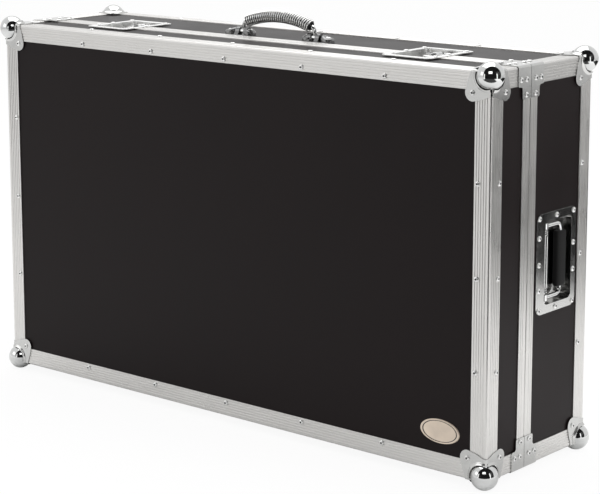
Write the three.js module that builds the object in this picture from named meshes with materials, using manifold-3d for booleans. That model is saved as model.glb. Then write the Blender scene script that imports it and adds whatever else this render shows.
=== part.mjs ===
// Flight case for a mixing desk, standing on one long edge, lid to the front.
// Millimetres. X runs along the length, Y from the lid to the back, Z up.
// The origin lies on the floor under the middle of the case.
import * as THREE from 'three';
import { mergeVertices } from 'three/addons/utils/BufferGeometryUtils.js';
import Module from 'manifold-3d';

const wasm = await Module();
wasm.setup();

// Outer size, over the aluminium
const caseLength = 1058;
const caseHeight = 631;
const lidDepth = 102.4;
const baseDepth = 172.8;

// Plywood and edge angles
const plyThickness = 9;
const angleWidth = 30;
const angleThickness = 1.8;
const angleRadius = 3;
const angleArcSteps = 3;

// Tongue and groove closing profile
const closingWidth = 19.5;
const closingWeb = 5;
const closingLipLength = 10;
const closingLipThickness = 1.2;
const closingBevel = 1;
const tongueInset = 5;
const tongueWidth = 3;
const tongueHeight = 3;
const tongueTaper = 0.6;
const grooveSideGap = 0.8;
const grooveEndGap = 0.6;

// Ball corners
const ballRadius = 21.5;
const ballInset = 8;
const ballSegments = 12;
const ballRings = 8;
const flangeThickness = 1.2;
const flangeArris = 38;
const flangeShoulder = 43;
const flangeShoulderDepth = 12;
const lobeCentre = 34;
const lobeRadius = 13.2;
const lobeStartAngle = -0.35;
const lobeSteps = 6;

// Corner braces over the closing line
const braceThickness = 1.2;
const braceReach = 34.5;
const braceShoulder = 31.5;
const braceNeck = 23;
const braceDepth = 50;
const braceCorner = 3;
const braceSplitGap = 0.4;
const braceRivetRow = 20.5;
const braceRivetLowRow = 44;
const braceRivetNear = 12.5;
const braceRivetFar = 27;

// Rivets
const rivetRadius = 4.5;
const rivetTopShare = 0.62;
const rivetHeight = 2.2;
const rivetSides = 5;
const edgeRivetInset = 23;
const longRivetInset = 198.2;
const longRivetCount = 5;
const postRivetInset = 170;
const postRivetCount = 3;

// Recessed side handles
const sideDishFromClosing = 6.7;
const sideDishFromAngle = 5.6;
const sideDishHeight = 160;
const sideDishCorner = 14;
const sideDishThickness = 1.5;
const sideFlangeNear = 23;
const sideFlangeFar = 12;
const sideFlangeEnd = 13.5;
const sideOpeningCorner = 9;
const sideDishDepth = 16;
const sideDishWall = 1.2;
const sideRivetInset = 7;
const sideRivetNearShares = [-1, -0.56, 0, 0.58, 1];
const sideRivetFarShares = [-1, -0.3, 0.29, 1];
const sidePinRadius = 2.5;
const sidePinFromEdge = 10.5;
const sidePinDepth = 7.5;
const bailRadius = 3.8;
const bailEndGap = 9.5;
const bailBend = 11;
const bailEyeRadius = 5.5;
const bailEyeLength = 10;
const bailSides = 6;
const bailSteps = 20;
const gripReachShare = 0.704;
const gripWidthShare = 0.329;
const gripThickness = 13;
const gripEndGap = 13;
const gripCorner = 5;
const sideSpringRadius = 4.6;
const sideSpringWire = 0.8;
const sideSpringPitch = 3.4;
const sideSpringCurls = 3;
const sideSpringEndGap = 15.5;
const sideSpringBridgeSteps = 6;

// Butterfly latches
const latchFromEnd = 201;
const latchWidth = 95;
const latchBaseReach = 74;
const latchLidReach = 47;
const latchPlate = 1.5;
const latchCorner = 6;
const latchOpening = 73;
const latchBaseOpening = 63;
const latchLidOpening = 36;
const latchDepth = 13;
const latchWall = 1.2;
const latchPocketCorner = 8;
const latchSplitGap = 0.4;
const latchRivetInset = 6.2;
const rotorFromSplit = 41.2;
const rotorRadius = 13;
const rotorHeight = 5.7;
const rotorSides = 20;
const wingAxisDepth = 3.5;
const wingPinRadius = 1.6;
const wingEarHalf = 3.5;
const wingEarRise = 2.5;
const wingEarWidth = 2;
const wingKnuckleRadius = 3;
const wingKnuckleLength = 8.5;
const wingReach = 21;
const wingHalfWidth = 12;
const wingRoot = 4.6;
const wingThickness = 1.4;
const hookPivotFromSplit = 24.4;
const hookPivotDepth = 7.4;
const hookWidth = 22;
const hookThickness = 1.6;
const hookReach = 21;
const hookTip = 2;
const hookDrop = 3.8;
const hookPinRadius = 1.5;
const hookKnuckleRadius = 2.8;
const hookEarLength = 4;
const hookEarHalf = 3;
const strikeBarWidth = 34;
const strikeBarThickness = 3;
const strikeBarHeight = 4.5;

// Sprung carrying handle on top
const handleFromSplit = 38.2;
const bracketOffset = 86;
const bracketLength = 63;
const bracketWidth = 24;
const bracketPlate = 1.5;
const bracketCorner = 11.5;
const bossRadius = 8.2;
const bossHeight = 5;
const bossInset = 10;
const earRadius = 7.2;
const earFootHalf = 11;
const earSteps = 6;
const innerEarLength = 9;
const outerEarLength = 9;
const eyeSlot = 9;
const handlePinHeight = 5.2;
const handlePinRadius = 2.6;
const handleEyeRadius = 5;
const handleLegOffset = 79;
const handleLegRadius = 3.6;
const archRadius = 208;
const archHalfSpan = 70.5;
const archTop = 35.55;
const coreRadius = 7.3;
const coreSides = 8;
const coreSteps = 14;
const legSteps = 8;
const coilRadius = 9.6;
const coilWire = 1.75;
const coilCurls = 31;

// Hinges under the case
const hingeFromEnd = 199;
const hingeWidth = 60;
const hingeLeaf = 22;
const hingeLeafThickness = 1.5;
const hingeKnuckleRadius = 4;
const hingeAxisDrop = 4.5;
const hingePinRadius = 2;
const hingeKnuckleSides = 12;
const hingeKnuckleShare = 0.3;
const hingeRivetFromAxis = 14;
const hingeRivetPitch = 20;

// Foam lining
const foamFloor = 20;
const foamWall = 10;
const foamLid = 20;

// Badge
const badgeFromEnd = 87;
const badgeHeight = 65;
const badgeWidth = 74;
const badgeTall = 38.5;
const badgeThickness = 1.4;
const badgeRimHeight = 0.8;
const badgeRimWidth = 3;
const badgeSteps = 24;

// Clearances and wire detail
const fitGap = 0.3;
const jointLap = 0.2;
const cornerSteps = 4;
const wireSides = 5;
const stepsPerCurl = 8;
const roundSides = 10;
const cutMargin = 5;

// Positions that follow from the sizes
const floorLift = ballRadius - ballInset;
const left = -caseLength / 2;
const right = caseLength / 2;
const front = -(lidDepth + baseDepth) / 2;
const back = -front;
const split = front + lidDepth;
const bottom = floorLift;
const top = bottom + caseHeight;
const skin = angleThickness;
const wall = angleThickness + plyThickness;
const closingDeep = wall + closingLipThickness;
const latchOffset = right - latchFromEnd;
const hingeOffset = right - hingeFromEnd;
const handleCentreY = split + handleFromSplit;

const looks = {
  laminate: { color: 0x28221f, roughness: 0.45, metalness: 0 },
  aluminium: { color: 0xc4c6c8, roughness: 0.35, metalness: 1 },
  zinc: { color: 0xb9bbbd, roughness: 0.25, metalness: 1 },
  steel: { color: 0xd0d2d4, roughness: 0.2, metalness: 1 },
  rubber: { color: 0x161616, roughness: 0.7, metalness: 0 },
  foam: { color: 0x2b2c2e, roughness: 0.95, metalness: 0 },
  badge: { color: 0xb8b2a6, roughness: 0.4, metalness: 0.3 },
};

const caseGroup = new THREE.Group();
caseGroup.name = 'mixer_flight_case';

// Solids

function clean(geometry) {
  const plain = geometry.clone();
  plain.deleteAttribute('normal');
  plain.deleteAttribute('uv');
  return mergeVertices(plain);
}

function flipped(geometry) {
  const order = geometry.index.array;
  for (let i = 0; i < order.length; i += 3) {
    const kept = order[i];
    order[i] = order[i + 1];
    order[i + 1] = kept;
  }
  return geometry;
}

// A copy turned over in any of the three directions, still facing outward
function mirrored(geometry, sx, sy, sz) {
  const copy = geometry.clone();
  copy.scale(sx, sy, sz);
  return sx * sy * sz < 0 ? flipped(copy) : copy;
}

function moved(geometry, x, y, z) {
  return geometry.clone().translate(x, y, z);
}

function toSolid(geometry) {
  return new wasm.Manifold(new wasm.Mesh({
    numProp: 3,
    vertProperties: Float32Array.from(geometry.attributes.position.array),
    triVerts: Uint32Array.from(geometry.index.array),
  }));
}

function fromSolid(solid) {
  const mesh = solid.getMesh();
  const geometry = new THREE.BufferGeometry();
  const points = new Float32Array(mesh.numVert * mesh.numProp);
  points.set(mesh.vertProperties);
  geometry.setAttribute('position', new THREE.BufferAttribute(points, mesh.numProp));
  geometry.setIndex(Array.from(mesh.triVerts));
  return geometry;
}

function fused(...pieces) {
  return fromSolid(pieces.map(toSolid).reduce((sum, piece) => sum.add(piece)));
}

function cut(body, ...tools) {
  return fromSolid(tools.map(toSolid).reduce((rest, tool) => rest.subtract(tool), toSolid(body)));
}

function block(x0, x1, y0, y1, z0, z1) {
  const geometry = new THREE.BoxGeometry(x1 - x0, y1 - y0, z1 - z0);
  geometry.translate((x0 + x1) / 2, (y0 + y1) / 2, (z0 + z1) / 2);
  return clean(geometry);
}

// Outlines are (y, z) along X, (z, x) along Y and (x, y) along Z
function prism(axis, outline, from, to) {
  const shape = new THREE.Shape(outline.map(([a, b]) => new THREE.Vector2(a, b)));
  const geometry = new THREE.ExtrudeGeometry(shape, { depth: to - from, bevelEnabled: false });
  geometry.translate(0, 0, from);
  const turn = new THREE.Matrix4();
  if (axis === 'x') turn.set(0, 0, 1, 0, 1, 0, 0, 0, 0, 1, 0, 0, 0, 0, 0, 1);
  if (axis === 'y') turn.set(0, 1, 0, 0, 0, 0, 1, 0, 1, 0, 0, 0, 0, 0, 0, 1);
  geometry.applyMatrix4(turn);
  return clean(geometry);
}

function arc(a, b, radius, start, end, steps) {
  const points = [];
  for (let i = 0; i <= steps; i += 1) {
    const angle = start + (end - start) * i / steps;
    points.push([a + radius * Math.cos(angle), b + radius * Math.sin(angle)]);
  }
  return points;
}

function ring(a, b, radius, sides) {
  return arc(a, b, radius, 0, 2 * Math.PI, sides).slice(1);
}

function roundedRectangle(a0, a1, b0, b1, radius) {
  const quarter = Math.PI / 2;
  return [
    ...arc(a1 - radius, b0 + radius, radius, -quarter, 0, cornerSteps),
    ...arc(a1 - radius, b1 - radius, radius, 0, quarter, cornerSteps),
    ...arc(a0 + radius, b1 - radius, radius, quarter, 2 * quarter, cornerSteps),
    ...arc(a0 + radius, b0 + radius, radius, 2 * quarter, 3 * quarter, cornerSteps),
  ];
}

function sweep(curve, steps, radius, sides) {
  const shape = new THREE.Shape(ring(0, 0, radius, sides).map(([a, b]) => new THREE.Vector2(a, b)));
  return clean(new THREE.ExtrudeGeometry(shape, { steps, bevelEnabled: false, extrudePath: curve }));
}

function bar(axis, a, b, radius, sides, from, to) {
  return prism(axis, ring(a, b, radius, sides), from, to);
}

function add(name, look, geometry) {
  const faceted = geometry.toNonIndexed();
  faceted.computeVertexNormals();
  const mesh = new THREE.Mesh(faceted, new THREE.MeshStandardMaterial(looks[look]));
  mesh.name = name;
  caseGroup.add(mesh);
}

// Rivet heads, each one part of the piece that it holds

function rivetHead() {
  const low = ring(0, 0, rivetRadius, rivetSides);
  const high = ring(0, 0, rivetRadius * rivetTopShare, rivetSides);
  const points = [];
  low.forEach(([a, b]) => points.push(a, b, -jointLap));
  high.forEach(([a, b]) => points.push(a, b, rivetHeight));
  const order = [];
  for (let i = 0; i < rivetSides; i += 1) {
    const next = (i + 1) % rivetSides;
    order.push(i, next, rivetSides + next, i, rivetSides + next, rivetSides + i);
  }
  for (let i = 2; i < rivetSides; i += 1) {
    order.push(0, i, i - 1);
    order.push(rivetSides, rivetSides + i - 1, rivetSides + i);
  }
  const geometry = new THREE.BufferGeometry();
  geometry.setAttribute('position', new THREE.Float32BufferAttribute(points, 3));
  geometry.setIndex(order);
  return geometry;
}

// The head stands on the point and points along the direction
function rivet(x, y, z, dx, dy, dz) {
  const head = rivetHead();
  const turn = new THREE.Quaternion();
  turn.setFromUnitVectors(new THREE.Vector3(0, 0, 1), new THREE.Vector3(dx, dy, dz));
  head.applyQuaternion(turn);
  return head.translate(x, y, z);
}

// Every left and right, bottom and top
const ends = [-1, 1];

const sideName = (side) => (side < 0 ? 'left' : 'right');
const levelName = (level) => (level < 0 ? 'bottom' : 'top');
const corners = ends.flatMap((side) => ends.map((level) => [side, level]));

// The two halves differ in which way they face and where they stop
const halves = [
  { name: 'lid', face: -1, outer: front },
  { name: 'base', face: 1, outer: back },
];

// Pockets that the recessed fittings need in the panels around them

function latchSpan(face) {
  const reach = latchWall + (face < 0 ? latchLidOpening : latchBaseOpening);
  return face < 0 ? [split - reach, split] : [split, split + reach];
}

const pocketHalf = latchOpening / 2 + latchWall + fitGap;

function latchPocket(side, face) {
  const [y0, y1] = latchSpan(face);
  const reach = face < 0 ? [y0 - fitGap, y1 + cutMargin] : [y0 - cutMargin, y1 + fitGap];
  return block(side * latchOffset - pocketHalf, side * latchOffset + pocketHalf, reach[0], reach[1],
    top - latchDepth - latchWall - fitGap, top + cutMargin);
}

const latchPockets = (face) => ends.map((side) => latchPocket(side, face));

const sideDishNear = split + closingWidth + sideDishFromClosing;
const sideDishFar = back - angleWidth - sideDishFromAngle;
const openingNear = sideDishNear + sideFlangeNear;
const openingFar = sideDishFar - sideFlangeFar;
const openingHalf = sideDishHeight / 2 - sideFlangeEnd;
const sideCentreZ = bottom + caseHeight / 2;
const panelFaceX = right - skin;

function sideOpening(grow, from, to) {
  return prism('x', roundedRectangle(
    openingNear - grow, openingFar + grow,
    sideCentreZ - openingHalf - grow, sideCentreZ + openingHalf + grow,
    sideOpeningCorner + grow), from, to);
}

const sidePocket = sideOpening(sideDishWall + fitGap,
  panelFaceX + sideDishThickness - sideDishDepth - sideDishWall - fitGap, right + cutMargin);

// Plywood shells, edge angles and closing profiles

function angleOutline(aEdge, aIn, bEdge, bIn) {
  const turned = arc(angleRadius, angleRadius, angleRadius, Math.PI, Math.PI * 1.5, angleArcSteps);
  const points = [
    ...turned, [angleWidth, 0], [angleWidth, skin], [skin, skin], [skin, angleWidth], [0, angleWidth],
  ];
  return points.map(([u, v]) => [aEdge + aIn * u, bEdge + bIn * v]);
}

function closingOutline(edge, place) {
  const points = [[closingWidth, 0], [closingBevel, 0], [0, closingBevel]];
  const low = tongueInset;
  const high = tongueInset + tongueWidth;
  if (edge === 'tongue') {
    points.push([0, low], [-tongueHeight, low + tongueTaper], [-tongueHeight, high - tongueTaper], [0, high]);
  }
  if (edge === 'groove') {
    const deep = tongueHeight + grooveEndGap;
    const from = low - grooveSideGap;
    const to = high + grooveSideGap;
    points.push([0, from], [deep, from + tongueTaper], [deep, to - tongueTaper], [0, to]);
  }
  points.push([0, closingDeep], [closingLipLength, closingDeep], [closingLipLength, wall]);
  points.push([closingWeb, wall], [closingWeb, skin], [closingWidth, skin]);
  return points.map(place);
}

halves.forEach(({ name, face, outer }) => {
  const inward = -face;
  const skinY = outer + inward * skin;
  const panelY = outer + inward * wall;
  const rimY = split + face * closingWeb;
  const [panelLow, panelHigh] = [Math.min(skinY, panelY), Math.max(skinY, panelY)];
  const [wallLow, wallHigh] = [Math.min(rimY, panelY), Math.max(rimY, panelY)];

  add(`${name}_${face < 0 ? 'front' : 'back'}_panel`, 'laminate',
    block(left + skin, right - skin, panelLow, panelHigh, bottom + skin, top - skin));
  const notchY = split + face * (closingLipLength + fitGap);
  const notches = ends.map((level) => {
    const edge = level < 0 ? bottom : top;
    const deep = edge - level * (closingDeep + fitGap);
    return block(right - wall - cutMargin, right, Math.min(notchY, rimY - face * cutMargin),
      Math.max(notchY, rimY - face * cutMargin), Math.min(edge, deep), Math.max(edge, deep));
  });
  const sideWall = cut(block(right - wall, right - skin, wallLow, wallHigh,
    bottom + wall - jointLap, top - wall + jointLap), ...notches);
  const rightWall = face < 0 ? sideWall : cut(sideWall, sidePocket);
  add(`${name}_wall_panels`, 'laminate', fused(
    block(left + skin, right - skin, wallLow, wallHigh, bottom + skin, bottom + wall),
    cut(block(left + skin, right - skin, wallLow, wallHigh, top - wall, top - skin), ...latchPockets(face)),
    rightWall, mirrored(rightWall, -1, 1, 1)));

  // Long angles run the whole length, and the others stop where they meet them
  const angles = ends.map((level) => prism('x',
    angleOutline(outer, inward, level < 0 ? bottom : top, -level), left, right));
  ends.forEach((side) => angles.push(prism('z', angleOutline(side < 0 ? left : right, -side, outer, inward),
    bottom + angleWidth - jointLap, top - angleWidth + jointLap)));
  const shortStart = outer + inward * (angleWidth - jointLap);
  const shortEnd = split + face * closingWidth;
  corners.forEach(([side, level]) => angles.push(prism('y',
    angleOutline(level < 0 ? bottom : top, -level, side < 0 ? left : right, -side),
    Math.min(shortStart, shortEnd), Math.max(shortStart, shortEnd))));

  // Rivets along the long angles, then up the posts
  const longPitch = (caseLength - 2 * longRivetInset) / (longRivetCount - 1);
  for (let i = 0; i < longRivetCount; i += 1) {
    const x = left + longRivetInset + i * longPitch;
    ends.forEach((level) => {
      const edge = level < 0 ? bottom : top;
      angles.push(rivet(x, outer, edge - level * edgeRivetInset, 0, face, 0));
      angles.push(rivet(x, outer + inward * edgeRivetInset, edge, 0, 0, level));
    });
  }
  const postPitch = (caseHeight - 2 * postRivetInset) / (postRivetCount - 1);
  for (let i = 0; i < postRivetCount; i += 1) {
    const z = bottom + postRivetInset + i * postPitch;
    ends.forEach((side) => {
      const edge = side < 0 ? left : right;
      angles.push(rivet(edge - side * edgeRivetInset, outer, z, 0, face, 0));
      angles.push(rivet(edge, outer + inward * edgeRivetInset, z, side, 0, 0));
    });
  }
  add(`${name}_edge_angles`, 'aluminium', fused(...angles));

  // The latches go right across the top closing profile, so it is in three lengths
  const edgeKind = face < 0 ? 'tongue' : 'groove';
  const longClosing = (level, from, to) => prism('x', closingOutline(edgeKind,
    ([u, v]) => [split + face * u, (level < 0 ? bottom : top) - level * v]), from, to);
  const latchNear = latchOffset - pocketHalf;
  const latchFar = latchOffset + pocketHalf;
  add(`${name}_closing_middle`, 'aluminium', longClosing(1, -latchNear, latchNear));
  const closings = [
    longClosing(-1, left, right), longClosing(1, left, -latchFar), longClosing(1, latchFar, right),
  ];
  ends.forEach((side) => {
    const place = ([u, v]) => [(side < 0 ? left : right) - side * v, split + face * u];
    const joined = face < 0 ? closingOutline('plain', place) : closingOutline('groove', place);
    closings.push(prism('z', joined, bottom + closingDeep - jointLap, top - closingDeep + jointLap));
    if (face < 0) {
      closings.push(prism('z', closingOutline(edgeKind, place), bottom + closingDeep, top - closingDeep));
    }
  });
  add(`${name}_closing_frame`, 'aluminium', fused(...closings));
});

// Ball corners: the corner of the case lies at the origin and fills the negative side

function cornerFlange() {
  const turn = Math.PI / 2 - 2 * lobeStartAngle;
  const lobe = arc(lobeCentre, lobeCentre, lobeRadius, lobeStartAngle, lobeStartAngle + turn, lobeSteps);
  return [
    [-flangeThickness, -flangeThickness], [flangeArris, -flangeThickness],
    [flangeArris, 0], [flangeShoulder, flangeShoulderDepth],
    ...lobe,
    [flangeShoulderDepth, flangeShoulder], [0, flangeArris], [-flangeThickness, flangeArris],
  ].map(([a, b]) => [-a, -b]);
}

const ball = clean(new THREE.SphereGeometry(ballRadius, ballSegments, ballRings)
  .translate(-ballInset, -ballInset, -ballInset));
const caseCorner = block(-caseLength, 0, -caseLength, 0, -caseLength, 0);
const ballCorner = cut(fused(ball,
  prism('x', cornerFlange(), 0, flangeThickness),
  prism('y', cornerFlange(), 0, flangeThickness),
  prism('z', cornerFlange(), 0, flangeThickness)), caseCorner);

const rivetedCorner = fused(ballCorner,
  rivet(-lobeCentre, -lobeCentre, flangeThickness, 0, 0, 1),
  rivet(-lobeCentre, flangeThickness, -lobeCentre, 0, 1, 0),
  rivet(flangeThickness, -lobeCentre, -lobeCentre, 1, 0, 0));

halves.forEach(({ name, face, outer }) => corners.forEach(([side, level]) => {
  const turned = mirrored(rivetedCorner, side, face, level);
  add(`${name}_ball_corner_${sideName(side)}_${levelName(level)}`, 'zinc',
    moved(turned, side < 0 ? left : right, outer, level < 0 ? bottom : top));
}));

// Corner braces: bent over the arris on each side of the closing line

const braceOutline = [
  [braceSplitGap, -braceThickness], [braceReach, -braceThickness],
  [braceReach, braceShoulder - braceCorner], [braceReach - braceCorner, braceShoulder],
  [braceNeck + braceCorner, braceShoulder + braceCorner],
  [braceNeck, braceShoulder + 2 * braceCorner], [braceNeck, braceDepth - braceCorner],
  [braceNeck - braceCorner, braceDepth], [braceSplitGap, braceDepth],
];
const braceSpots = [
  [braceRivetNear, braceRivetRow], [braceRivetFar, braceRivetRow], [braceRivetNear, braceRivetLowRow],
];
const brace = fused(
  prism('z', braceOutline.map(([u, v]) => [-v, u]), 0, braceThickness),
  prism('x', braceOutline.map(([u, v]) => [u, -v]), 0, braceThickness),
  ...braceSpots.map(([u, v]) => rivet(-v, u, braceThickness, 0, 0, 1)),
  ...braceSpots.map(([u, v]) => rivet(braceThickness, u, -v, 1, 0, 0)));

halves.forEach(({ name, face }) => corners.forEach(([side, level]) => {
  add(`${name}_corner_brace_${sideName(side)}_${levelName(level)}`, 'zinc',
    moved(mirrored(brace, side, face, level), side < 0 ? left : right, split, level < 0 ? bottom : top));
}));

// Foam lining

const foamFloorFace = back - wall - foamFloor;
const foamRim = split + closingLipLength + fitGap;
const foamPockets = [
  ...latchPockets(1), sidePocket, mirrored(sidePocket, -1, 1, 1),
];

// A block inside the walls, set in from them by the fitting gap and by the inset
function lining(y0, y1, inset) {
  const edge = wall + fitGap + inset;
  return block(left + edge, right - edge, y0, y1, bottom + edge, top - edge);
}

const foamBack = back - wall - fitGap;
add('base_foam_floor', 'foam', lining(foamFloorFace, foamBack, foamWall + fitGap));
add('base_foam_walls', 'foam', cut(lining(foamRim, foamBack, 0),
  lining(foamRim - cutMargin, foamBack + cutMargin, foamWall), ...foamPockets));
add('lid_foam_pad', 'foam',
  lining(front + wall + fitGap, front + wall + foamLid, closingLipThickness + fitGap));

// Butterfly latches

const floorZ = top - latchDepth;
const rotorY = split + rotorFromSplit;
const hookY = split + hookPivotFromSplit;
const hookZ = top - hookPivotDepth;
const wingZ = top - wingAxisDepth;
const strikeBarY = split - hookReach + hookTip + fitGap;

function latchDish(face) {
  const reach = face < 0 ? latchLidReach : latchBaseReach;
  const opening = face < 0 ? latchLidOpening : latchBaseOpening;
  const outerY = split + face * reach;
  const innerY = split + face * latchSplitGap;
  const half = latchWidth / 2;
  const hollow = latchOpening / 2;
  const corner = latchCorner;
  const plate = prism('z', [
    [-half, innerY], [half, innerY], [half, outerY - face * corner], [half - corner, outerY],
    [corner - half, outerY], [-half, outerY - face * corner],
  ], top, top + latchPlate);
  const pan = (grow, low, from) => {
    const far = split + face * (opening + grow);
    const round = latchPocketCorner;
    return prism('z', [
      [-hollow - grow, from], [hollow + grow, from], [hollow + grow, far - face * round],
      [hollow + grow - round, far], [round - hollow - grow, far], [-hollow - grow, far - face * round],
    ], low, top + latchPlate);
  };
  const tool = pan(0, floorZ, split - face * cutMargin);
  return cut(fused(plate, pan(latchWall, floorZ - latchWall, innerY)), tool, moved(tool, 0, 0, latchPlate));
}

function hookEar(side) {
  const inner = hookWidth / 2 + fitGap;
  const ear = block(inner, inner + hookEarLength, hookY - hookEarHalf, hookY + hookEarHalf,
    floorZ, hookZ + hookEarHalf);
  return side < 0 ? mirrored(ear, -1, 1, 1) : ear;
}

const hookPinHalf = hookWidth / 2 + fitGap + hookEarLength;
const hookPin = bar('x', hookY, hookZ, hookPinRadius, roundSides, -hookPinHalf, hookPinHalf);
const hookBore = bar('x', hookY, hookZ, hookPinRadius + fitGap, roundSides, -hookPinHalf, hookPinHalf);
const latchRivetX = latchWidth / 2 - latchRivetInset;
const baseDish = fused(latchDish(1), hookEar(-1), hookEar(1), hookPin, ...ends.flatMap((way) => [
  rivet(way * latchRivetX, split + latchBaseReach - 2 * latchRivetInset, top + latchPlate, 0, 0, 1),
  rivet(way * latchRivetX, split + 2 * latchRivetInset, top + latchPlate, 0, 0, 1),
]));

const strikeBar = block(-strikeBarWidth / 2, strikeBarWidth / 2, strikeBarY, strikeBarY + strikeBarThickness,
  floorZ, floorZ + strikeBarHeight);
const strikeDish = fused(latchDish(-1), strikeBar, ...ends.map((way) => rivet(
  way * latchRivetX, split - latchLidReach / 2, top + latchPlate, 0, 0, 1)));

const wingBore = bar('y', wingZ, 0, wingPinRadius + fitGap, roundSides,
  rotorY - wingReach, rotorY + wingReach);
const earInner = fitGap / 2 + wingKnuckleLength + fitGap;
const rotor = fused(
  prism('z', ring(0, rotorY, rotorRadius, rotorSides), floorZ + fitGap, floorZ + rotorHeight),
  ...ends.map((side) => block(-wingEarHalf, wingEarHalf,
    rotorY + (side < 0 ? -earInner - wingEarWidth : earInner),
    rotorY + (side < 0 ? -earInner : earInner + wingEarWidth),
    floorZ + rotorHeight - fitGap, wingZ + wingEarRise)),
  bar('y', wingZ, 0, wingPinRadius, roundSides,
    rotorY - earInner - wingEarWidth, rotorY + earInner + wingEarWidth));

// A wing folds about a pin along Y, and its knuckle takes one half of the pin
function wing(side) {
  const plate = prism('z', [
    [wingRoot, rotorY - wingHalfWidth], [wingReach - wingHalfWidth / 2, rotorY - wingHalfWidth],
    ...arc(wingReach - wingHalfWidth, rotorY, wingHalfWidth, -Math.PI / 3, Math.PI / 3, cornerSteps),
    [wingReach - wingHalfWidth / 2, rotorY + wingHalfWidth], [wingRoot, rotorY + wingHalfWidth],
  ], wingZ - wingThickness / 2, wingZ + wingThickness / 2);
  const y0 = rotorY - wingKnuckleLength - fitGap / 2;
  const y1 = rotorY - fitGap / 2;
  const knuckle = bar('y', wingZ, 0, wingKnuckleRadius, roundSides, y0, y1);
  const web = block(0, wingRoot + wingThickness, y0, y1,
    wingZ - wingThickness / 2, wingZ + wingThickness / 2);
  const piece = cut(fused(plate, knuckle, web), wingBore);
  return side > 0 ? piece : moved(mirrored(piece, -1, -1, 1), 0, 2 * rotorY, 0);
}

const hookArmZ = hookZ - hookThickness / 2;
const hookFar = split - hookReach;
const hook = cut(fused(
  bar('x', hookY, hookZ, hookKnuckleRadius, roundSides, -hookWidth / 2, hookWidth / 2),
  block(-hookWidth / 2, hookWidth / 2, hookFar, hookY, hookArmZ, hookArmZ + hookThickness),
  block(-hookWidth / 2, hookWidth / 2, hookFar, hookFar + hookTip - fitGap,
    hookArmZ - hookDrop, hookArmZ + hookThickness),
), hookBore);

function atLatch(side, geometry) {
  return moved(geometry, side * latchOffset, 0, 0);
}

ends.forEach((side) => {
  const label = sideName(side);
  add(`latch_dish_${label}`, 'zinc', atLatch(side, baseDish));
  add(`latch_strike_${label}`, 'zinc', atLatch(side, strikeDish));
  add(`latch_rotor_${label}`, 'zinc', atLatch(side, rotor));
  add(`latch_hook_${label}`, 'steel', atLatch(side, hook));
  add(`latch_wing_near_${label}`, 'steel', atLatch(side, wing(-1)));
  add(`latch_wing_far_${label}`, 'steel', atLatch(side, wing(1)));
});

// Sprung carrying handle

const plateZ = top - skin;
const handleAxisZ = top + handlePinHeight;
const slotInner = handleLegOffset - eyeSlot / 2;
const slotOuter = handleLegOffset + eyeSlot / 2;

function handleEar(from, to) {
  const foot = plateZ + bracketPlate / 2;
  return prism('x', [
    [handleCentreY - earFootHalf, foot], [handleCentreY + earFootHalf, foot],
    ...arc(handleCentreY, handleAxisZ, earRadius, 0, Math.PI, earSteps),
  ], from, to);
}

const bracketHalf = bracketLength / 2;
const bracketOutline = roundedRectangle(bracketOffset - bracketHalf, bracketOffset + bracketHalf,
  handleCentreY - bracketWidth / 2, handleCentreY + bracketWidth / 2, bracketCorner);
const pinInner = slotInner - innerEarLength;
const pinOuter = slotOuter + outerEarLength;
const bossTop = plateZ + bracketPlate + bossHeight;
const bossSpots = ends.map((way) => bracketOffset + way * (bracketHalf - bossInset));
const bracket = fused(
  prism('z', bracketOutline, plateZ, plateZ + bracketPlate),
  handleEar(pinInner, slotInner),
  handleEar(slotOuter, pinOuter),
  bar('x', handleCentreY, handleAxisZ, handlePinRadius, roundSides, pinInner, pinOuter),
  ...bossSpots.map((x) => bar('z', x, handleCentreY, bossRadius, roundSides, plateZ, bossTop)),
  ...bossSpots.map((x) => rivet(x, handleCentreY, bossTop, 0, 0, 1)));
ends.forEach((side) => add(`handle_bracket_${sideName(side)}`, 'steel', mirrored(bracket, side, 1, 1)));

// The grip's centre line is an arch that turns down into an eye at each end
const archCentreZ = top + archTop - archRadius;
const archAngle = Math.asin(archHalfSpan / archRadius);

function archPoint(angle, out, round) {
  const reach = archRadius + out * Math.cos(round);
  return new THREE.Vector3(
    reach * Math.sin(angle), handleCentreY + out * Math.sin(round), archCentreZ + reach * Math.cos(angle));
}

// A curve sampled evenly in its own parameter
class Wound extends THREE.Curve {
  getUtoTmapping(u) {
    return u;
  }
}

class Arch extends Wound {
  getPoint(t) {
    return archPoint((2 * t - 1) * archAngle, 0, 0);
  }
}

class Coil extends Wound {
  getPoint(t) {
    return archPoint((2 * t - 1) * archAngle, coilRadius, 2 * Math.PI * coilCurls * t);
  }
}

const legTop = archPoint(archAngle, 0, 0);
const legBend = new THREE.Vector3(handleLegOffset, handleCentreY,
  legTop.z - (handleLegOffset - archHalfSpan) * Math.tan(archAngle));

class Leg extends Wound {
  getPoint(t) {
    const low = new THREE.Vector3(handleLegOffset, handleCentreY, handleAxisZ);
    const corner = new THREE.QuadraticBezierCurve3(legTop, legBend,
      new THREE.Vector3(handleLegOffset, handleCentreY, legBend.z - (handleLegOffset - archHalfSpan)));
    const bendShare = 0.5;
    if (t < bendShare) return corner.getPoint(t / bendShare);
    return corner.getPoint(1).lerp(low, (t - bendShare) / bendShare);
  }
}

const leg = sweep(new Leg(), legSteps, handleLegRadius, bailSides);
const eye = bar('x', handleCentreY, handleAxisZ, handleEyeRadius, roundSides,
  slotInner + fitGap, slotOuter - fitGap);
const handlePinTool = bar('x', handleCentreY, handleAxisZ, handlePinRadius + fitGap, roundSides,
  slotInner - cutMargin, slotOuter + cutMargin);
const handleEnd = cut(fused(leg, eye), handlePinTool);
const handleCore = fused(sweep(new Arch(), coreSteps, coreRadius, coreSides),
  handleEnd, mirrored(handleEnd, -1, 1, 1));
add('handle_core', 'steel', handleCore);

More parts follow.
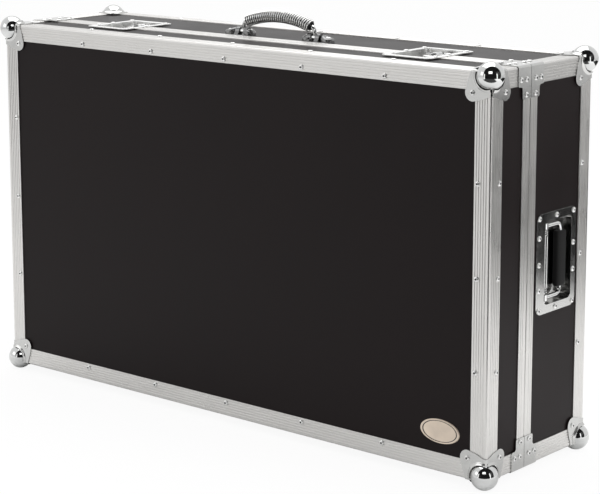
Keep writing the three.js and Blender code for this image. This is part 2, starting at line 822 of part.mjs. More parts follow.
// The least gap between a wound wire and itself, from points on its centre line
function leastGap(curve, curls, wire) {
  const perCurl = stepsPerCurl * 2;
  const points = [];
  for (let i = 0; i <= curls * perCurl; i += 1) points.push(curve.getPoint(i / (curls * perCurl)));
  let least = Infinity;
  points.forEach((point, i) => {
    for (let j = i + stepsPerCurl; j < points.length; j += 1) {
      least = Math.min(least, point.distanceTo(points[j]));
    }
  });
  return least - 2 * wire;
}

const coil = new Coil();
console.log('grip coil least gap mm', leastGap(coil, coilCurls, coilWire).toFixed(2));
add('handle_coil', 'steel', sweep(coil, coilCurls * stepsPerCurl, coilWire, wireSides));

// Recessed side handles, built on the right and turned over for the left

const dishFaceX = panelFaceX + sideDishThickness;
const sideRivetNear = sideDishNear + sideRivetInset;
const sideRivetFar = sideDishFar - sideRivetInset;
const sideRivetMiddle = (sideDishNear + sideDishFar) / 2;
const sideRivetHalf = sideDishHeight / 2 - sideRivetInset;
const dishSpots = [
  ...sideRivetNearShares.map((share) => [sideRivetNear, share * sideRivetHalf]),
  [sideRivetMiddle, -sideRivetHalf], [sideRivetMiddle, sideRivetHalf],
  ...sideRivetFarShares.map((share) => [sideRivetFar, share * sideRivetHalf]),
];
const sideDishOutline = roundedRectangle(sideDishNear, sideDishFar,
  sideCentreZ - sideDishHeight / 2, sideCentreZ + sideDishHeight / 2, sideDishCorner);
const sideDish = fused(
  cut(fused(
    prism('x', sideDishOutline, panelFaceX, dishFaceX),
    sideOpening(sideDishWall, dishFaceX - sideDishDepth - sideDishWall, dishFaceX)),
  sideOpening(0, dishFaceX - sideDishDepth, dishFaceX + cutMargin)),
  ...dishSpots.map(([y, z]) => rivet(dishFaceX, y, sideCentreZ + z, 1, 0, 0)));

const pinX = dishFaceX - sidePinDepth;
const pinY = openingNear + sidePinFromEdge;
const pinHalf = openingHalf - fitGap;
const openingWidth = openingFar - openingNear;
const gripY = openingNear + gripReachShare * openingWidth;
const gripHalfWidth = gripWidthShare * openingWidth / 2;
const bailHalf = openingHalf - bailEndGap;
const sidePin = bar('z', pinX, pinY, sidePinRadius, roundSides, sideCentreZ - pinHalf, sideCentreZ + pinHalf);
const sidePinTool = bar('z', pinX, pinY, sidePinRadius + fitGap, roundSides, bottom, top);

class Bail extends THREE.Curve {
  constructor() {
    super();
    const half = bailHalf;
    const far = gripY;
    const at = (y, z) => new THREE.Vector3(pinX, y, sideCentreZ + z);
    this.path = new THREE.CurvePath();
    const line = (from, to) => this.path.add(new THREE.LineCurve3(from, to));
    const bend = (from, by, to) => this.path.add(new THREE.QuadraticBezierCurve3(from, by, to));
    line(at(pinY, half), at(far - bailBend, half));
    bend(at(far - bailBend, half), at(far, half), at(far, half - bailBend));
    line(at(far, half - bailBend), at(far, bailBend - half));
    bend(at(far, bailBend - half), at(far, -half), at(far - bailBend, -half));
    line(at(far - bailBend, -half), at(pinY, -half));
  }

  getPoint(t) {
    return this.path.getPoint(t);
  }
}

const bailEyes = ends.map((side) => {
  const centre = sideCentreZ + side * bailHalf;
  return bar('z', pinX, pinY, bailEyeRadius, roundSides,
    centre - bailEyeLength / 2, centre + bailEyeLength / 2);
});
const bail = cut(fused(sweep(new Bail(), bailSteps, bailRadius, bailSides), ...bailEyes), sidePinTool);

const gripHalf = bailHalf - gripEndGap;
const gripBoreRadius = (bailRadius + fitGap) / Math.cos(Math.PI / roundSides);
const gripRod = bar('z', pinX, gripY, gripBoreRadius, roundSides, bottom, top);
const gripOutline = roundedRectangle(pinX - gripThickness / 2, pinX + gripThickness / 2,
  gripY - gripHalfWidth, gripY + gripHalfWidth, gripCorner);
const grip = cut(prism('z', gripOutline,
  sideCentreZ - gripHalf, sideCentreZ + gripHalf), gripRod);

const springHalf = openingHalf - sideSpringEndGap;

// A double torsion spring: curls round the pin at both ends, with one straight wire between them
class SideSpring extends Wound {
  getPoint(t) {
    const woundSteps = sideSpringCurls * stepsPerCurl;
    const step = t * sideSpringSteps;
    const low = Math.min(step, woundSteps);
    const high = Math.max(step - woundSteps - sideSpringBridgeSteps, 0);
    const bridge = Math.min(Math.max(step - woundSteps, 0), sideSpringBridgeSteps) / sideSpringBridgeSteps;
    const angle = 2 * Math.PI * (low + high) / stepsPerCurl;
    const wound = sideSpringPitch * (low + high) / stepsPerCurl;
    const bridgeLength = 2 * (springHalf - sideSpringCurls * sideSpringPitch);
    return new THREE.Vector3(
      pinX + sideSpringRadius * Math.cos(angle), pinY + sideSpringRadius * Math.sin(angle),
      sideCentreZ - springHalf + wound + bridge * bridgeLength);
  }
}

const sideSpringSteps = 2 * sideSpringCurls * stepsPerCurl + sideSpringBridgeSteps;
const sideSpring = new SideSpring();
console.log('side spring least gap mm', leastGap(sideSpring, 2 * sideSpringCurls, sideSpringWire).toFixed(2));
const sideSpringSolid = sweep(sideSpring, sideSpringSteps, sideSpringWire, wireSides);

ends.forEach((side) => {
  const label = sideName(side);
  const turned = (geometry) => mirrored(geometry, side, 1, 1);
  add(`side_handle_dish_${label}`, 'zinc', turned(sideDish));
  add(`side_handle_bail_${label}`, 'steel', turned(bail));
  add(`side_handle_grip_${label}`, 'rubber', turned(grip));
  add(`side_handle_pin_${label}`, 'steel', turned(sidePin));
  add(`side_handle_spring_${label}`, 'steel', turned(sideSpringSolid));
});

// Hinges under the closing line

const hingeZ = bottom - hingeAxisDrop;
const knuckleEnd = hingeWidth * hingeKnuckleShare;

function hingeLeafPlate(face) {
  const reach = split + face * hingeLeaf;
  const near = split + face * fitGap;
  return prism('x', [
    [near, hingeZ], [near, bottom], [reach, bottom], [reach, bottom - hingeLeafThickness],
    [split + face * hingeKnuckleRadius, bottom - hingeLeafThickness],
    [split + face * hingeKnuckleRadius, hingeZ],
  ], -hingeWidth / 2, hingeWidth / 2);
}

const knuckle = (from, to) => bar('x', split, hingeZ, hingeKnuckleRadius, hingeKnuckleSides, from, to);
const halfHinge = hingeWidth / 2;
const pinBore = bar('x', split, hingeZ, hingePinRadius + fitGap, hingeKnuckleSides, -hingeWidth, hingeWidth);
const clearOf = (from, to) => block(from, to, split - hingeKnuckleRadius - fitGap,
  split + hingeKnuckleRadius + fitGap, hingeZ - hingeKnuckleRadius - fitGap, bottom + hingeKnuckleRadius);
const middle = halfHinge - knuckleEnd;
const hingeRivets = (face) => ends.map((way) => rivet(
  way * hingeRivetPitch, split + face * hingeRivetFromAxis, bottom - hingeLeafThickness, 0, 0, -1));
const baseLeaf = fused(
  cut(hingeLeafPlate(1), clearOf(-middle, middle)),
  knuckle(-halfHinge, -middle), knuckle(middle, halfHinge),
  bar('x', split, hingeZ, hingePinRadius, hingeKnuckleSides, -halfHinge, halfHinge), ...hingeRivets(1));
const lidPlate = cut(hingeLeafPlate(-1),
  clearOf(-halfHinge - cutMargin, fitGap - middle), clearOf(middle - fitGap, halfHinge + cutMargin));
const lidLeaf = fused(
  cut(fused(lidPlate, knuckle(fitGap - middle, middle - fitGap)), pinBore), ...hingeRivets(-1));
ends.forEach((side) => {
  add(`hinge_base_leaf_${sideName(side)}`, 'zinc', moved(baseLeaf, side * hingeOffset, 0, 0));
  add(`hinge_lid_leaf_${sideName(side)}`, 'zinc', moved(lidLeaf, side * hingeOffset, 0, 0));
});

// Badge, left bare

const badgeIn = badgeRimWidth / badgeTall * 2;
const badgeProfile = [
  [0, badgeThickness], [1 - badgeIn, badgeThickness], [1 - badgeIn, badgeThickness + badgeRimHeight],
  [1, badgeThickness], [1, 0], [0, 0],
];
const badgeTurned = badgeProfile.map(([r, h]) => new THREE.Vector2(r, -h));
const badge = clean(new THREE.LatheGeometry(badgeTurned, badgeSteps));
badge.scale(badgeWidth / 2, 1, badgeTall / 2);
add('badge_plate', 'badge', moved(badge, right - badgeFromEnd, front + skin, bottom + badgeHeight));

export default caseGroup;
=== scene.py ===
import math

import bpy
from mathutils import Matrix, Vector


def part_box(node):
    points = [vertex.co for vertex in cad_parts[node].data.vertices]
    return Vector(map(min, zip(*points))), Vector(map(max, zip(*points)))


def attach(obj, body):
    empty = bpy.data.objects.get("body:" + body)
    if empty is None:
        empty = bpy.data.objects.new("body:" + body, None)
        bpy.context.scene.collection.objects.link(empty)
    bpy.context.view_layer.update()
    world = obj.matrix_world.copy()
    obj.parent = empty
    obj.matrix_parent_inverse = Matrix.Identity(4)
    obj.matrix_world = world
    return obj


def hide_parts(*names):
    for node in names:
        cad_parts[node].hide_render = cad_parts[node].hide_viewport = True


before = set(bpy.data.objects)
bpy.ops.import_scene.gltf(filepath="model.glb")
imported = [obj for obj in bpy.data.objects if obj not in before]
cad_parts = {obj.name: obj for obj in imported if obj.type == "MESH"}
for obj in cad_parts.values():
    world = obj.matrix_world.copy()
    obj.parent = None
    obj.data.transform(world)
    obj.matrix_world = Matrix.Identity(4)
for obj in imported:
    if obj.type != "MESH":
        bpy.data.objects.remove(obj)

bl_info = {
    "name": "Mixer flight case",
    "version": (1, 0, 0),
    "blender": (4, 5, 0),
    "location": "3D View > Sidebar > Flight Case",
    "description": "Dresses the solids of a mixer flight case and sets up its studio",
    "category": "Object",
}

# Places taken from the frame, and thicknesses, in millimetres
MM = 1000
ENDS = (-1, 1)
SIDE_NAMES = {-1: "left", 1: "right"}
LEVEL_NAMES = {-1: "bottom", 1: "top"}
CORNERS = [(side, level) for side in ENDS for level in ENDS]

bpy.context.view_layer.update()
CLOSING_LOW, CLOSING_HIGH = (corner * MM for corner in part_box("base_closing_frame"))
# Thickness of the aluminium, and how far the boards' inner side lies under it
SKIN = 1.8
WALL = 10.8
HALF_LENGTH = CLOSING_HIGH.x
BOTTOM, TOP = CLOSING_LOW.z, CLOSING_HIGH.z
SPLIT = CLOSING_LOW.y
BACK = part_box("base_back_panel")[1].y * MM + SKIN
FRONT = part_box("lid_front_panel")[0].y * MM - SKIN
MIDDLE_Z = (BOTTOM + TOP) / 2
HALVES = {"lid": (-1, FRONT), "base": (1, BACK)}

# A quarter of a full turn, and the angle from which an edge is rounded
QUARTER = math.pi / 2
SHARP_ANGLE = 30


# Shapes: points in millimetres, faces and the number of each face's finish

class Shape:
    """Points and faces that have not become a mesh yet."""

    def __init__(self, points=(), faces=(), finishes=None):
        self.points = [tuple(p) for p in points]
        self.faces = [tuple(f) for f in faces]
        self.finishes = list(finishes) if finishes is not None else [0] * len(self.faces)

    def __add__(self, other):
        start = len(self.points)
        moved = [tuple(i + start for i in face) for face in other.faces]
        return Shape(self.points + other.points, self.faces + moved, self.finishes + other.finishes)

    def moved(self, x=0, y=0, z=0):
        return Shape([(a + x, b + y, c + z) for a, b, c in self.points], self.faces, self.finishes)

    def scaled(self, x, y, z):
        """A copy, turned right side out again where the scale mirrors it."""
        faces = self.faces if x * y * z > 0 else [face[::-1] for face in self.faces]
        return Shape([(a * x, b * y, c * z) for a, b, c in self.points], faces, self.finishes)

    def turned(self, matrix):
        return Shape([matrix @ Vector(p) for p in self.points], self.faces, self.finishes)

    def finished(self, number):
        return Shape(self.points, self.faces, [number] * len(self.faces))


def joined(shapes):
    total = Shape()
    for shape in shapes:
        total = total + shape
    return total


def on_axis(axis, a, b, along):
    """Outlines are (y, z) along X, (z, x) along Y and (x, y) along Z."""
    return {"x": (along, a, b), "y": (b, along, a), "z": (a, b, along)}[axis]


def prism(axis, outline, low, high):
    count = len(outline)
    area = sum(outline[i - 1][0] * outline[i][1] - outline[i][0] * outline[i - 1][1] for i in range(count))
    if area < 0:
        outline = outline[::-1]
    points = [on_axis(axis, a, b, along) for along in (low, high) for a, b in outline]
    faces = [tuple(range(count))[::-1], tuple(range(count, 2 * count))]
    faces += [(i, (i + 1) % count, (i + 1) % count + count, i + count) for i in range(count)]
    return Shape(points, faces)


def block(x0, x1, y0, y1, z0, z1):
    return prism("z", [(x0, y0), (x1, y0), (x1, y1), (x0, y1)], z0, z1)


def arc(a, b, radius, start, end, steps):
    turn = (end - start) / steps
    return [(a + radius * math.cos(start + i * turn), b + radius * math.sin(start + i * turn))
            for i in range(steps + 1)]


def ring(a, b, radius, sides):
    return arc(a, b, radius, 0, 2 * math.pi, sides)[:-1]


def rounded(a0, a1, b0, b1, radius):
    """The outline of a rectangle with round corners."""
    corners = ((a1 - radius, b0 + radius), (a1 - radius, b1 - radius),
               (a0 + radius, b1 - radius), (a0 + radius, b0 + radius))
    return [point for turn, (a, b) in enumerate(corners)
            for point in arc(a, b, radius, (turn - 1) * QUARTER, turn * QUARTER, 8)]


def rod(axis, a, b, radius, low, high, sides=24, chamfer=0):
    """A round bar with a small chamfer at both ends."""
    if not chamfer:
        return prism(axis, ring(a, b, radius, sides), low, high)
    profile = [(0, low), (radius - chamfer, low), (radius, low + chamfer),
               (radius, high - chamfer), (radius - chamfer, high), (0, high)]
    return lathe(profile, sides, axis, a, b)


def lathe(profile, sides, axis="z", a=0, b=0):
    """Turns a profile of (radius, height) about an axis; a radius of 0 closes it."""
    points, rows = [], []
    for radius, height in profile:
        if radius == 0:
            rows.append([len(points)] * sides)
            points.append(on_axis(axis, a, b, height))
            continue
        rows.append(list(range(len(points), len(points) + sides)))
        points += [on_axis(axis, a + u, b + v, height) for u, v in ring(0, 0, radius, sides)]
    faces = []
    for low, high in zip(rows, rows[1:]):
        for i in range(sides):
            j = (i + 1) % sides
            corners = []
            for corner in (low[i], low[j], high[j], high[i]):
                if corner not in corners:
                    corners.append(corner)
            if len(corners) > 2:
                faces.append(tuple(corners))
    return Shape(points, faces)


def tube(path, radius, sides):
    """A round wire along a path, with flat ends."""
    path = [Vector(p) for p in path]
    last = len(path) - 1
    tangents = [(path[min(i + 1, last)] - path[max(i - 1, 0)]).normalized() for i in range(last + 1)]
    across = tangents[0].orthogonal().normalized()
    points = []
    for centre, tangent in zip(path, tangents):
        across = (across - tangent * across.dot(tangent)).normalized()
        up = tangent.cross(across)
        points += [centre + radius * (across * u + up * v) for u, v in ring(0, 0, 1, sides)]
    faces = [tuple(range(sides))[::-1], tuple(range(last * sides, len(points)))]
    for row in range(0, last * sides, sides):
        for i in range(sides):
            j = (i + 1) % sides
            faces.append((row + i, row + j, row + sides + j, row + sides + i))
    return Shape(points, faces)


# From shapes to objects

def mesh_of(name, shape):
    mesh = bpy.data.meshes.new(name)
    mesh.from_pydata([tuple(c / MM for c in p) for p in shape.points], [], shape.faces)
    mesh.polygons.foreach_set("material_index", shape.finishes)
    mesh.update()
    return mesh


def linked(name, data):
    """A new object in the scene."""
    obj = bpy.data.objects.new(name, data)
    bpy.context.scene.collection.objects.link(obj)
    return obj


def evaluated(obj):
    """The object's mesh with its modifiers applied."""
    bpy.context.view_layer.update()
    depsgraph = bpy.context.evaluated_depsgraph_get()
    return bpy.data.meshes.new_from_object(
        obj.evaluated_get(depsgraph), preserve_all_data_layers=True, depsgraph=depsgraph)


def discard(*objects):
    for obj in objects:
        mesh = obj.data
        bpy.data.objects.remove(obj)
        bpy.data.meshes.remove(mesh)


def worked(name, body, added=(), cut=(), edge=0, steps=2):
    """Joins solids, cuts others away and rounds the edges that are left."""
    main = linked(name, mesh_of(name, body))
    others = []
    for kind, shapes in (("UNION", added), ("DIFFERENCE", cut)):
        for shape in shapes:
            other = linked(name + "_tool", mesh_of(name + "_tool", shape))
            others.append(other)
            change = main.modifiers.new(kind, "BOOLEAN")
            change.operation, change.solver, change.object = kind, "EXACT", other
    if edge:
        bevel = main.modifiers.new("edges", "BEVEL")
        bevel.width, bevel.segments = edge / MM, steps
        bevel.limit_method, bevel.angle_limit = "ANGLE", math.radians(SHARP_ANGLE)
        bevel.use_clamp_overlap = True
    mesh = evaluated(main)
    shape = Shape([v.co * MM for v in mesh.vertices], [p.vertices[:] for p in mesh.polygons])
    bpy.data.meshes.remove(mesh)
    discard(main, *others)
    return shape


def seat(obj, body):
    """Puts an object on its body."""
    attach(obj, body)


def piece(name, shape, finishes, body, node, crease=35):
    """A finished piece in place of a solid: smooth where its faces run into each other."""
    mesh = mesh_of(name, shape)
    for finish in finishes:
        mesh.materials.append(FINISHES[finish])
    mesh.polygons.foreach_set("use_smooth", [True] * len(mesh.polygons))
    mesh.set_sharp_from_angle(angle=math.radians(crease))
    obj = linked(name, mesh)
    normals = obj.modifiers.new("normals", "WEIGHTED_NORMAL")
    normals.keep_sharp = True
    final = evaluated(obj)
    obj.modifiers.remove(normals)
    obj.data = final
    final.name = name
    bpy.data.meshes.remove(mesh)
    seat(obj, body)
    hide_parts(node)
    return obj


# Node trees

class Value:
    """One socket of a node, to be used in sums."""

    def __init__(self, nodes, socket):
        self.nodes, self.socket = nodes, socket

    def __add__(self, other):
        return self.nodes.sum("ADD", self, other)

    def __sub__(self, other):
        return self.nodes.sum("SUBTRACT", self, other)

    def __rsub__(self, other):
        return self.nodes.sum("SUBTRACT", other, self)

    def __mul__(self, other):
        return self.nodes.sum("MULTIPLY", self, other)

    __radd__ = __add__
    __rmul__ = __mul__


class Nodes:
    """Adds nodes to one tree and wires them."""

    def __init__(self, tree):
        self.tree = tree

    def add(self, kind, settings=None, sockets=None, out=0):
        """A node of this kind: its settings first, then the values and links of its sockets."""
        node = self.tree.nodes.new(kind)
        for name, value in (settings or {}).items():
            setattr(node, name, value)
        for name, value in (sockets or {}).items():
            if isinstance(value, Value):
                self.tree.links.new(value.socket, node.inputs[name])
            else:
                node.inputs[name].default_value = value
        return Value(self, node.outputs[out]) if len(node.outputs) else node

    def sum(self, operation, *values):
        return self.add("ShaderNodeMath", {"operation": operation}, dict(enumerate(values)))

    def mixed(self, factor, first, second):
        """From one colour to another."""
        return self.add("ShaderNodeMix", {"data_type": "RGBA"}, {0: factor, 6: first, 7: second}, out=2)

    def blended(self, factor, first, second):
        """From one shader to another."""
        return self.add("ShaderNodeMixShader", None, {0: factor, 1: first, 2: second})

    def noise(self, vector, scale, detail=4, roughness=0.55):
        return self.add("ShaderNodeTexNoise", None, {
            "Vector": vector, "Scale": scale, "Detail": detail, "Roughness": roughness})

    def between(self, value, low, high, to_low, to_high):
        return self.add("ShaderNodeMapRange", {"clamp": True}, {
            "Value": value, "From Min": low, "From Max": high, "To Min": to_low, "To Max": to_high})

    def spread(self, noise, low, high):
        """A noise, which lies mostly between 0.3 and 0.7, brought to another range."""
        return self.between(noise, 0.3, 0.7, low, high)

    def shades(self, noise, rgb, dark, light):
        """A colour that a noise makes darker and lighter."""
        return self.mixed(self.spread(noise, 0, 1), colour(rgb, dark), colour(rgb, light))

    def place(self, scale=(1, 1, 1)):
        """Object coordinates, stretched by a scale for each direction."""
        here = self.add("ShaderNodeTexCoord", out="Object")
        if scale == (1, 1, 1):
            return here
        return self.add("ShaderNodeMapping", None, {"Vector": here, "Scale": scale})


def new_finish(name, constants):
    """A material with one Principled shader, whose constant sockets are set directly."""
    material = bpy.data.materials.new(name)
    material.use_nodes = True
    tree = material.node_tree
    tree.nodes.clear()
    nodes = Nodes(tree)
    shader = tree.nodes.new("ShaderNodeBsdfPrincipled")
    output = tree.nodes.new("ShaderNodeOutputMaterial")
    tree.links.new(shader.outputs["BSDF"], output.inputs["Surface"])
    for socket, value in constants.items():
        shader.inputs[socket].default_value = value
    return material, nodes, shader


def surfaced(finish, base, rough, height, depth, strength):
    """Feeds a finish's shader with its colour, its roughness and a relief, and gives its material."""
    material, nodes, shader = finish
    relief = nodes.add("ShaderNodeBump", None, {
        "Height": height, "Distance": depth, "Strength": strength}, out="Normal")
    for socket, value in (("Base Color", base), ("Roughness", rough), ("Normal", relief)):
        nodes.tree.links.new(value.socket, shader.inputs[socket])
    return material


def colour(rgb, share):
    """A colour made darker or lighter, with the fourth number that sockets want."""
    return tuple(min(1, c * share) for c in rgb) + (1,)


FINISHES = {}


def laminate_finish(look):
    """Film-faced plywood: a satin skin with a fine pebble and faint handling marks."""
    finish = new_finish("Satin laminate", {"Metallic": 0, "IOR": 1.45, "Specular IOR Level": 0.145})
    nodes = finish[1]
    cloud = nodes.noise(nodes.place(), 5, 5)
    pebble = nodes.noise(nodes.place(), 1500, 2)
    rub = nodes.between(nodes.noise(nodes.place((3, 3, 1)), 9, 8, 0.65), 0.55, 0.8, 0, 1)
    base = nodes.shades(cloud, look.laminate, 0.9, 1.12)
    base = nodes.mixed(rub * 0.10 * look.wear, base, colour(look.laminate, 2.6))
    rough = nodes.spread(cloud, 0.36, 0.44) + rub * 0.05 + (pebble - 0.5) * 0.05
    return surfaced(finish, base, rough, pebble, 0.00006, 0.5)


def aluminium_finish(look, run):
    """Drawn aluminium: faint die lines along its run, and small handling marks."""
    stretch = {"x": (1, 160, 160), "y": (160, 1, 160), "z": (160, 160, 1)}[run]
    finish = new_finish(f"Drawn aluminium along {run.upper()}", {"Metallic": 1})
    nodes = finish[1]
    lines = nodes.noise(nodes.place(stretch), 9, 3, 0.7)
    cloud = nodes.noise(nodes.place(), 14, 5)
    mark = nodes.between(nodes.noise(nodes.place(), 260, 3, 0.7), 0.66, 0.74, 0, 1)
    base = nodes.shades(lines, look.aluminium, 0.93, 1.05)
    base = nodes.mixed(mark * 0.35 * look.wear, base, colour(look.aluminium, 0.6))
    rough = nodes.spread(cloud, 0.27, 0.35) + (lines - 0.5) * 0.18
    return surfaced(finish, base, rough, lines, 0.00004, 0.5)


def plated_finish(name, tint, low, high, look):
    """Bright plating: nearly a mirror, with faint smears and pits."""
    finish = new_finish(name, {"Metallic": 1})
    nodes = finish[1]
    cloud = nodes.noise(nodes.place(), 35, 5, 0.6)
    pits = nodes.between(nodes.noise(nodes.place(), 420, 3, 0.7), 0.68, 0.76, 0, 1)
    base = nodes.shades(cloud, tint, 0.94, 1.03)
    base = nodes.mixed(pits * 0.3 * look.wear, base, colour(tint, 0.5))
    rough = nodes.spread(cloud, low, high) + pits * 0.08
    return surfaced(finish, base, rough, nodes.noise(nodes.place(), 60, 2), 0.00025, 0.12)


def plain_finish(name, tint, low, high, metallic, grain, depth, mirror=0.5):
    """A matt or dark surface with one grain."""
    finish = new_finish(name, {"Metallic": metallic, "Specular IOR Level": mirror})
    nodes = finish[1]
    cloud = nodes.noise(nodes.place(), 20)
    fine = nodes.noise(nodes.place(), grain, 3)
    base = nodes.shades(cloud, tint, 0.85, 1.15)
    return surfaced(finish, base, nodes.spread(fine, low, high), fine, depth, 0.6)


def foam_finish(look):
    """Open-cell foam: small pores in a matt, slightly clouded grey."""
    finish = new_finish("Charcoal foam", {"Metallic": 0, "Sheen Weight": 0.25})
    nodes = finish[1]
    cells = nodes.add("ShaderNodeTexVoronoi", None, {"Vector": nodes.place(), "Scale": 620}, out="Distance")
    cloud = nodes.noise(nodes.place(), 12, 5)
    base = nodes.mixed(nodes.between(cells, 0, 0.5, 0, 1), colour(look.foam, 0.45), colour(look.foam, 1.2))
    base = nodes.mixed(nodes.between(cloud, 0.35, 0.7, 0, 0.4), base, colour(look.foam, 0.8))
    return surfaced(finish, base, nodes.between(cells, 0, 0.5, 1.0, 0.88), cells, 0.0009, 0.7)


def make_finishes(look):
    FINISHES.update({
        "laminate": laminate_finish(look),
        "aluminium_x": aluminium_finish(look, "x"),
        "aluminium_y": aluminium_finish(look, "y"),
        "aluminium_z": aluminium_finish(look, "z"),
        "zinc": plated_finish("Bright zinc plate", look.zinc, 0.12, 0.2, look),
        "ball": plated_finish("Nickel ball", look.ball, 0.05, 0.09, look),
        "chrome": plated_finish("Chromed steel", look.steel, 0.07, 0.13, look),
        "coil": plated_finish("Coil wire", look.bright, 0.18, 0.26, look),
        "bracket": plated_finish("Pressed bracket", look.bracket, 0.2, 0.3, look),
        "dish": plated_finish("Latch dish", look.bright, 0.24, 0.36, look),
        "rivet": plated_finish("Rivet steel", look.rivet, 0.3, 0.4, look),
        # The rivet hollow's near-black colour is painted shade: the mandrel's hole is coloured dark in place
        # of the shade that falls in it.
        "hole": plain_finish("Rivet hollow", (0.05, 0.05, 0.05), 0.4, 0.6, 1, 300, 0.00005),
        "core": plain_finish("Dark core", (0.012, 0.012, 0.013), 0.45, 0.6, 0, 300, 0.0001, 0.2),
        "rubber": plain_finish("Black rubber", look.rubber, 0.42, 0.55, 0, 700, 0.0001, 0.12),
        "foam": foam_finish(look),
        "badge_face": plain_finish("Badge face", look.badge, 0.3, 0.4, 0.55, 500, 0.00003),
        "badge_line": plain_finish("Badge line", (0.05, 0.045, 0.04), 0.35, 0.5, 0.3, 500, 0.00003),
    })


# Geometry Nodes trees

def new_tree(name, inputs):
    """An empty tree with named inputs: each is a kind of socket, a default and a subtype."""
    tree = bpy.data.node_groups.new(name, "GeometryNodeTree")
    for label, (kind, default, subtype) in inputs.items():
        item = tree.interface.new_socket(name=label, in_out="INPUT", socket_type=kind)
        if subtype:
            item.subtype = subtype
        if default is not None:
            item.default_value = default
    tree.interface.new_socket(name="Geometry", in_out="OUTPUT", socket_type="NodeSocketGeometry")
    nodes = Nodes(tree)
    group = tree.nodes.new("NodeGroupInput")
    given = {socket.name: Value(nodes, socket) for socket in group.outputs if socket.name}
    return tree, nodes, given


def close_tree(tree, geometry):
    output = tree.nodes.new("NodeGroupOutput")
    tree.links.new(geometry.socket, output.inputs[0])
    return tree


def grown(obj, tree, settings):
    """The mesh that a tree makes of an object, with its inputs set by their identifiers."""
    modifier = obj.modifiers.new(tree.name, "NODES")
    modifier.node_group = tree
    for item in tree.interface.items_tree:
        if item.item_type == "SOCKET" and item.in_out == "INPUT" and item.name in settings:
            modifier[item.identifier] = settings[item.name]
    obj.update_tag()
    mesh = evaluated(obj)
    discard(obj)
    return mesh


def rivet_tree():
    """Sets a rivet head on each point, facing the way that the point's attribute says."""
    tree, nodes, given = new_tree("Rivet heads", {
        "Geometry": ("NodeSocketGeometry", None, None),
        "Head": ("NodeSocketObject", None, None),
        "Head Radius": ("NodeSocketFloat", 0.0045, "DISTANCE"),
        "Head Height": ("NodeSocketFloat", 0.0022, "DISTANCE"),
        "Seed": ("NodeSocketInt", 7, None),
        "Metal": ("NodeSocketMaterial", None, None),
        "Hollow": ("NodeSocketMaterial", None, None),
    })
    facing = nodes.add("GeometryNodeInputNamedAttribute", {"data_type": "FLOAT_VECTOR"}, {"Name": "facing"})
    turn = nodes.add("FunctionNodeAlignRotationToVector", {"axis": "Z"}, {"Vector": facing})
    spin = nodes.add("FunctionNodeRandomValue", {"data_type": "FLOAT"}, {
        2: 0.0, 3: 2 * math.pi, "Seed": given["Seed"]}, out=1)
    about = nodes.add("FunctionNodeAxisAngleToRotation", None, {"Axis": (0, 0, 1), "Angle": spin})
    turned = nodes.add("FunctionNodeRotateRotation", {"rotation_space": "LOCAL"}, {
        "Rotation": turn, "Rotate By": about})
    size = nodes.add("ShaderNodeCombineXYZ", None, {
        "X": given["Head Radius"], "Y": given["Head Radius"], "Z": given["Head Height"]})
    head = nodes.add("GeometryNodeObjectInfo", {"transform_space": "ORIGINAL"}, {
        "Object": given["Head"], "As Instance": True}, out="Geometry")
    heads = nodes.add("GeometryNodeInstanceOnPoints", None, {
        "Points": given["Geometry"], "Instance": head, "Rotation": turned, "Scale": size})
    real = nodes.add("GeometryNodeRealizeInstances", None, {"Geometry": heads})
    metal = nodes.add("GeometryNodeSetMaterial", None, {"Geometry": real, "Material": given["Metal"]})
    # The faces of the mandrel's hollow get the near-black finish, which is painted shade in the recess.
    hollow = nodes.add("GeometryNodeInputNamedAttribute", {"data_type": "BOOLEAN"}, {"Name": "hollow"})
    done = nodes.add("GeometryNodeSetMaterial", None, {
        "Geometry": metal, "Selection": hollow, "Material": given["Hollow"]})
    return close_tree(tree, done)


def coil_tree():
    """Winds a wire round an arch that stands in the XZ plane."""
    tree, nodes, given = new_tree("Arched coil", {
        "Geometry": ("NodeSocketGeometry", None, None),
        "Arch Centre": ("NodeSocketVector", (0, 0, 0), "TRANSLATION"),
        "Arch Radius": ("NodeSocketFloat", 0.208, "DISTANCE"),
        "Arch Half Angle": ("NodeSocketFloat", 0.35, "ANGLE"),
        "Coil Radius": ("NodeSocketFloat", 0.0091, "DISTANCE"),
        "Wire Radius": ("NodeSocketFloat", 0.0014, "DISTANCE"),
        "Curls": ("NodeSocketInt", 39, None),
        "Steps per Curl": ("NodeSocketInt", 20, None),
        "Wire": ("NodeSocketMaterial", None, None),
    })
    line = nodes.add("GeometryNodeCurvePrimitiveLine", None, {"End": (1, 0, 0)})
    count = given["Curls"] * given["Steps per Curl"] + 1
    path = nodes.add("GeometryNodeResampleCurve", None, {"Curve": line, "Count": count})
    share = nodes.add("GeometryNodeSplineParameter", out="Factor")
    across = (share * 2 - 1) * given["Arch Half Angle"]
    winding = share * given["Curls"] * (2 * math.pi)
    reach = given["Arch Radius"] + given["Coil Radius"] * nodes.sum("COSINE", winding)
    spot = nodes.add("ShaderNodeCombineXYZ", None, {
        "X": reach * nodes.sum("SINE", across),
        "Y": given["Coil Radius"] * nodes.sum("SINE", winding),
        "Z": reach * nodes.sum("COSINE", across)})
    spot = nodes.add("ShaderNodeVectorMath", {"operation": "ADD"}, {0: spot, 1: given["Arch Centre"]})
    wound = nodes.add("GeometryNodeSetPosition", None, {"Geometry": path, "Position": spot})
    section = nodes.add("GeometryNodeCurvePrimitiveCircle", None, {
        "Resolution": 10, "Radius": given["Wire Radius"]})
    wire_mesh = nodes.add("GeometryNodeCurveToMesh", None, {
        "Curve": wound, "Profile Curve": section, "Fill Caps": True})
    smooth = nodes.add("GeometryNodeSetShadeSmooth", None, {"Geometry": wire_mesh})
    real = nodes.add("GeometryNodeRealizeInstances", None, {"Geometry": smooth})
    done = nodes.add("GeometryNodeSetMaterial", None, {"Geometry": real, "Material": given["Wire"]})
    return close_tree(tree, done)


# Rivets are noted down by the pieces that they hold, and set together at the end
RIVET_SPOTS = {}


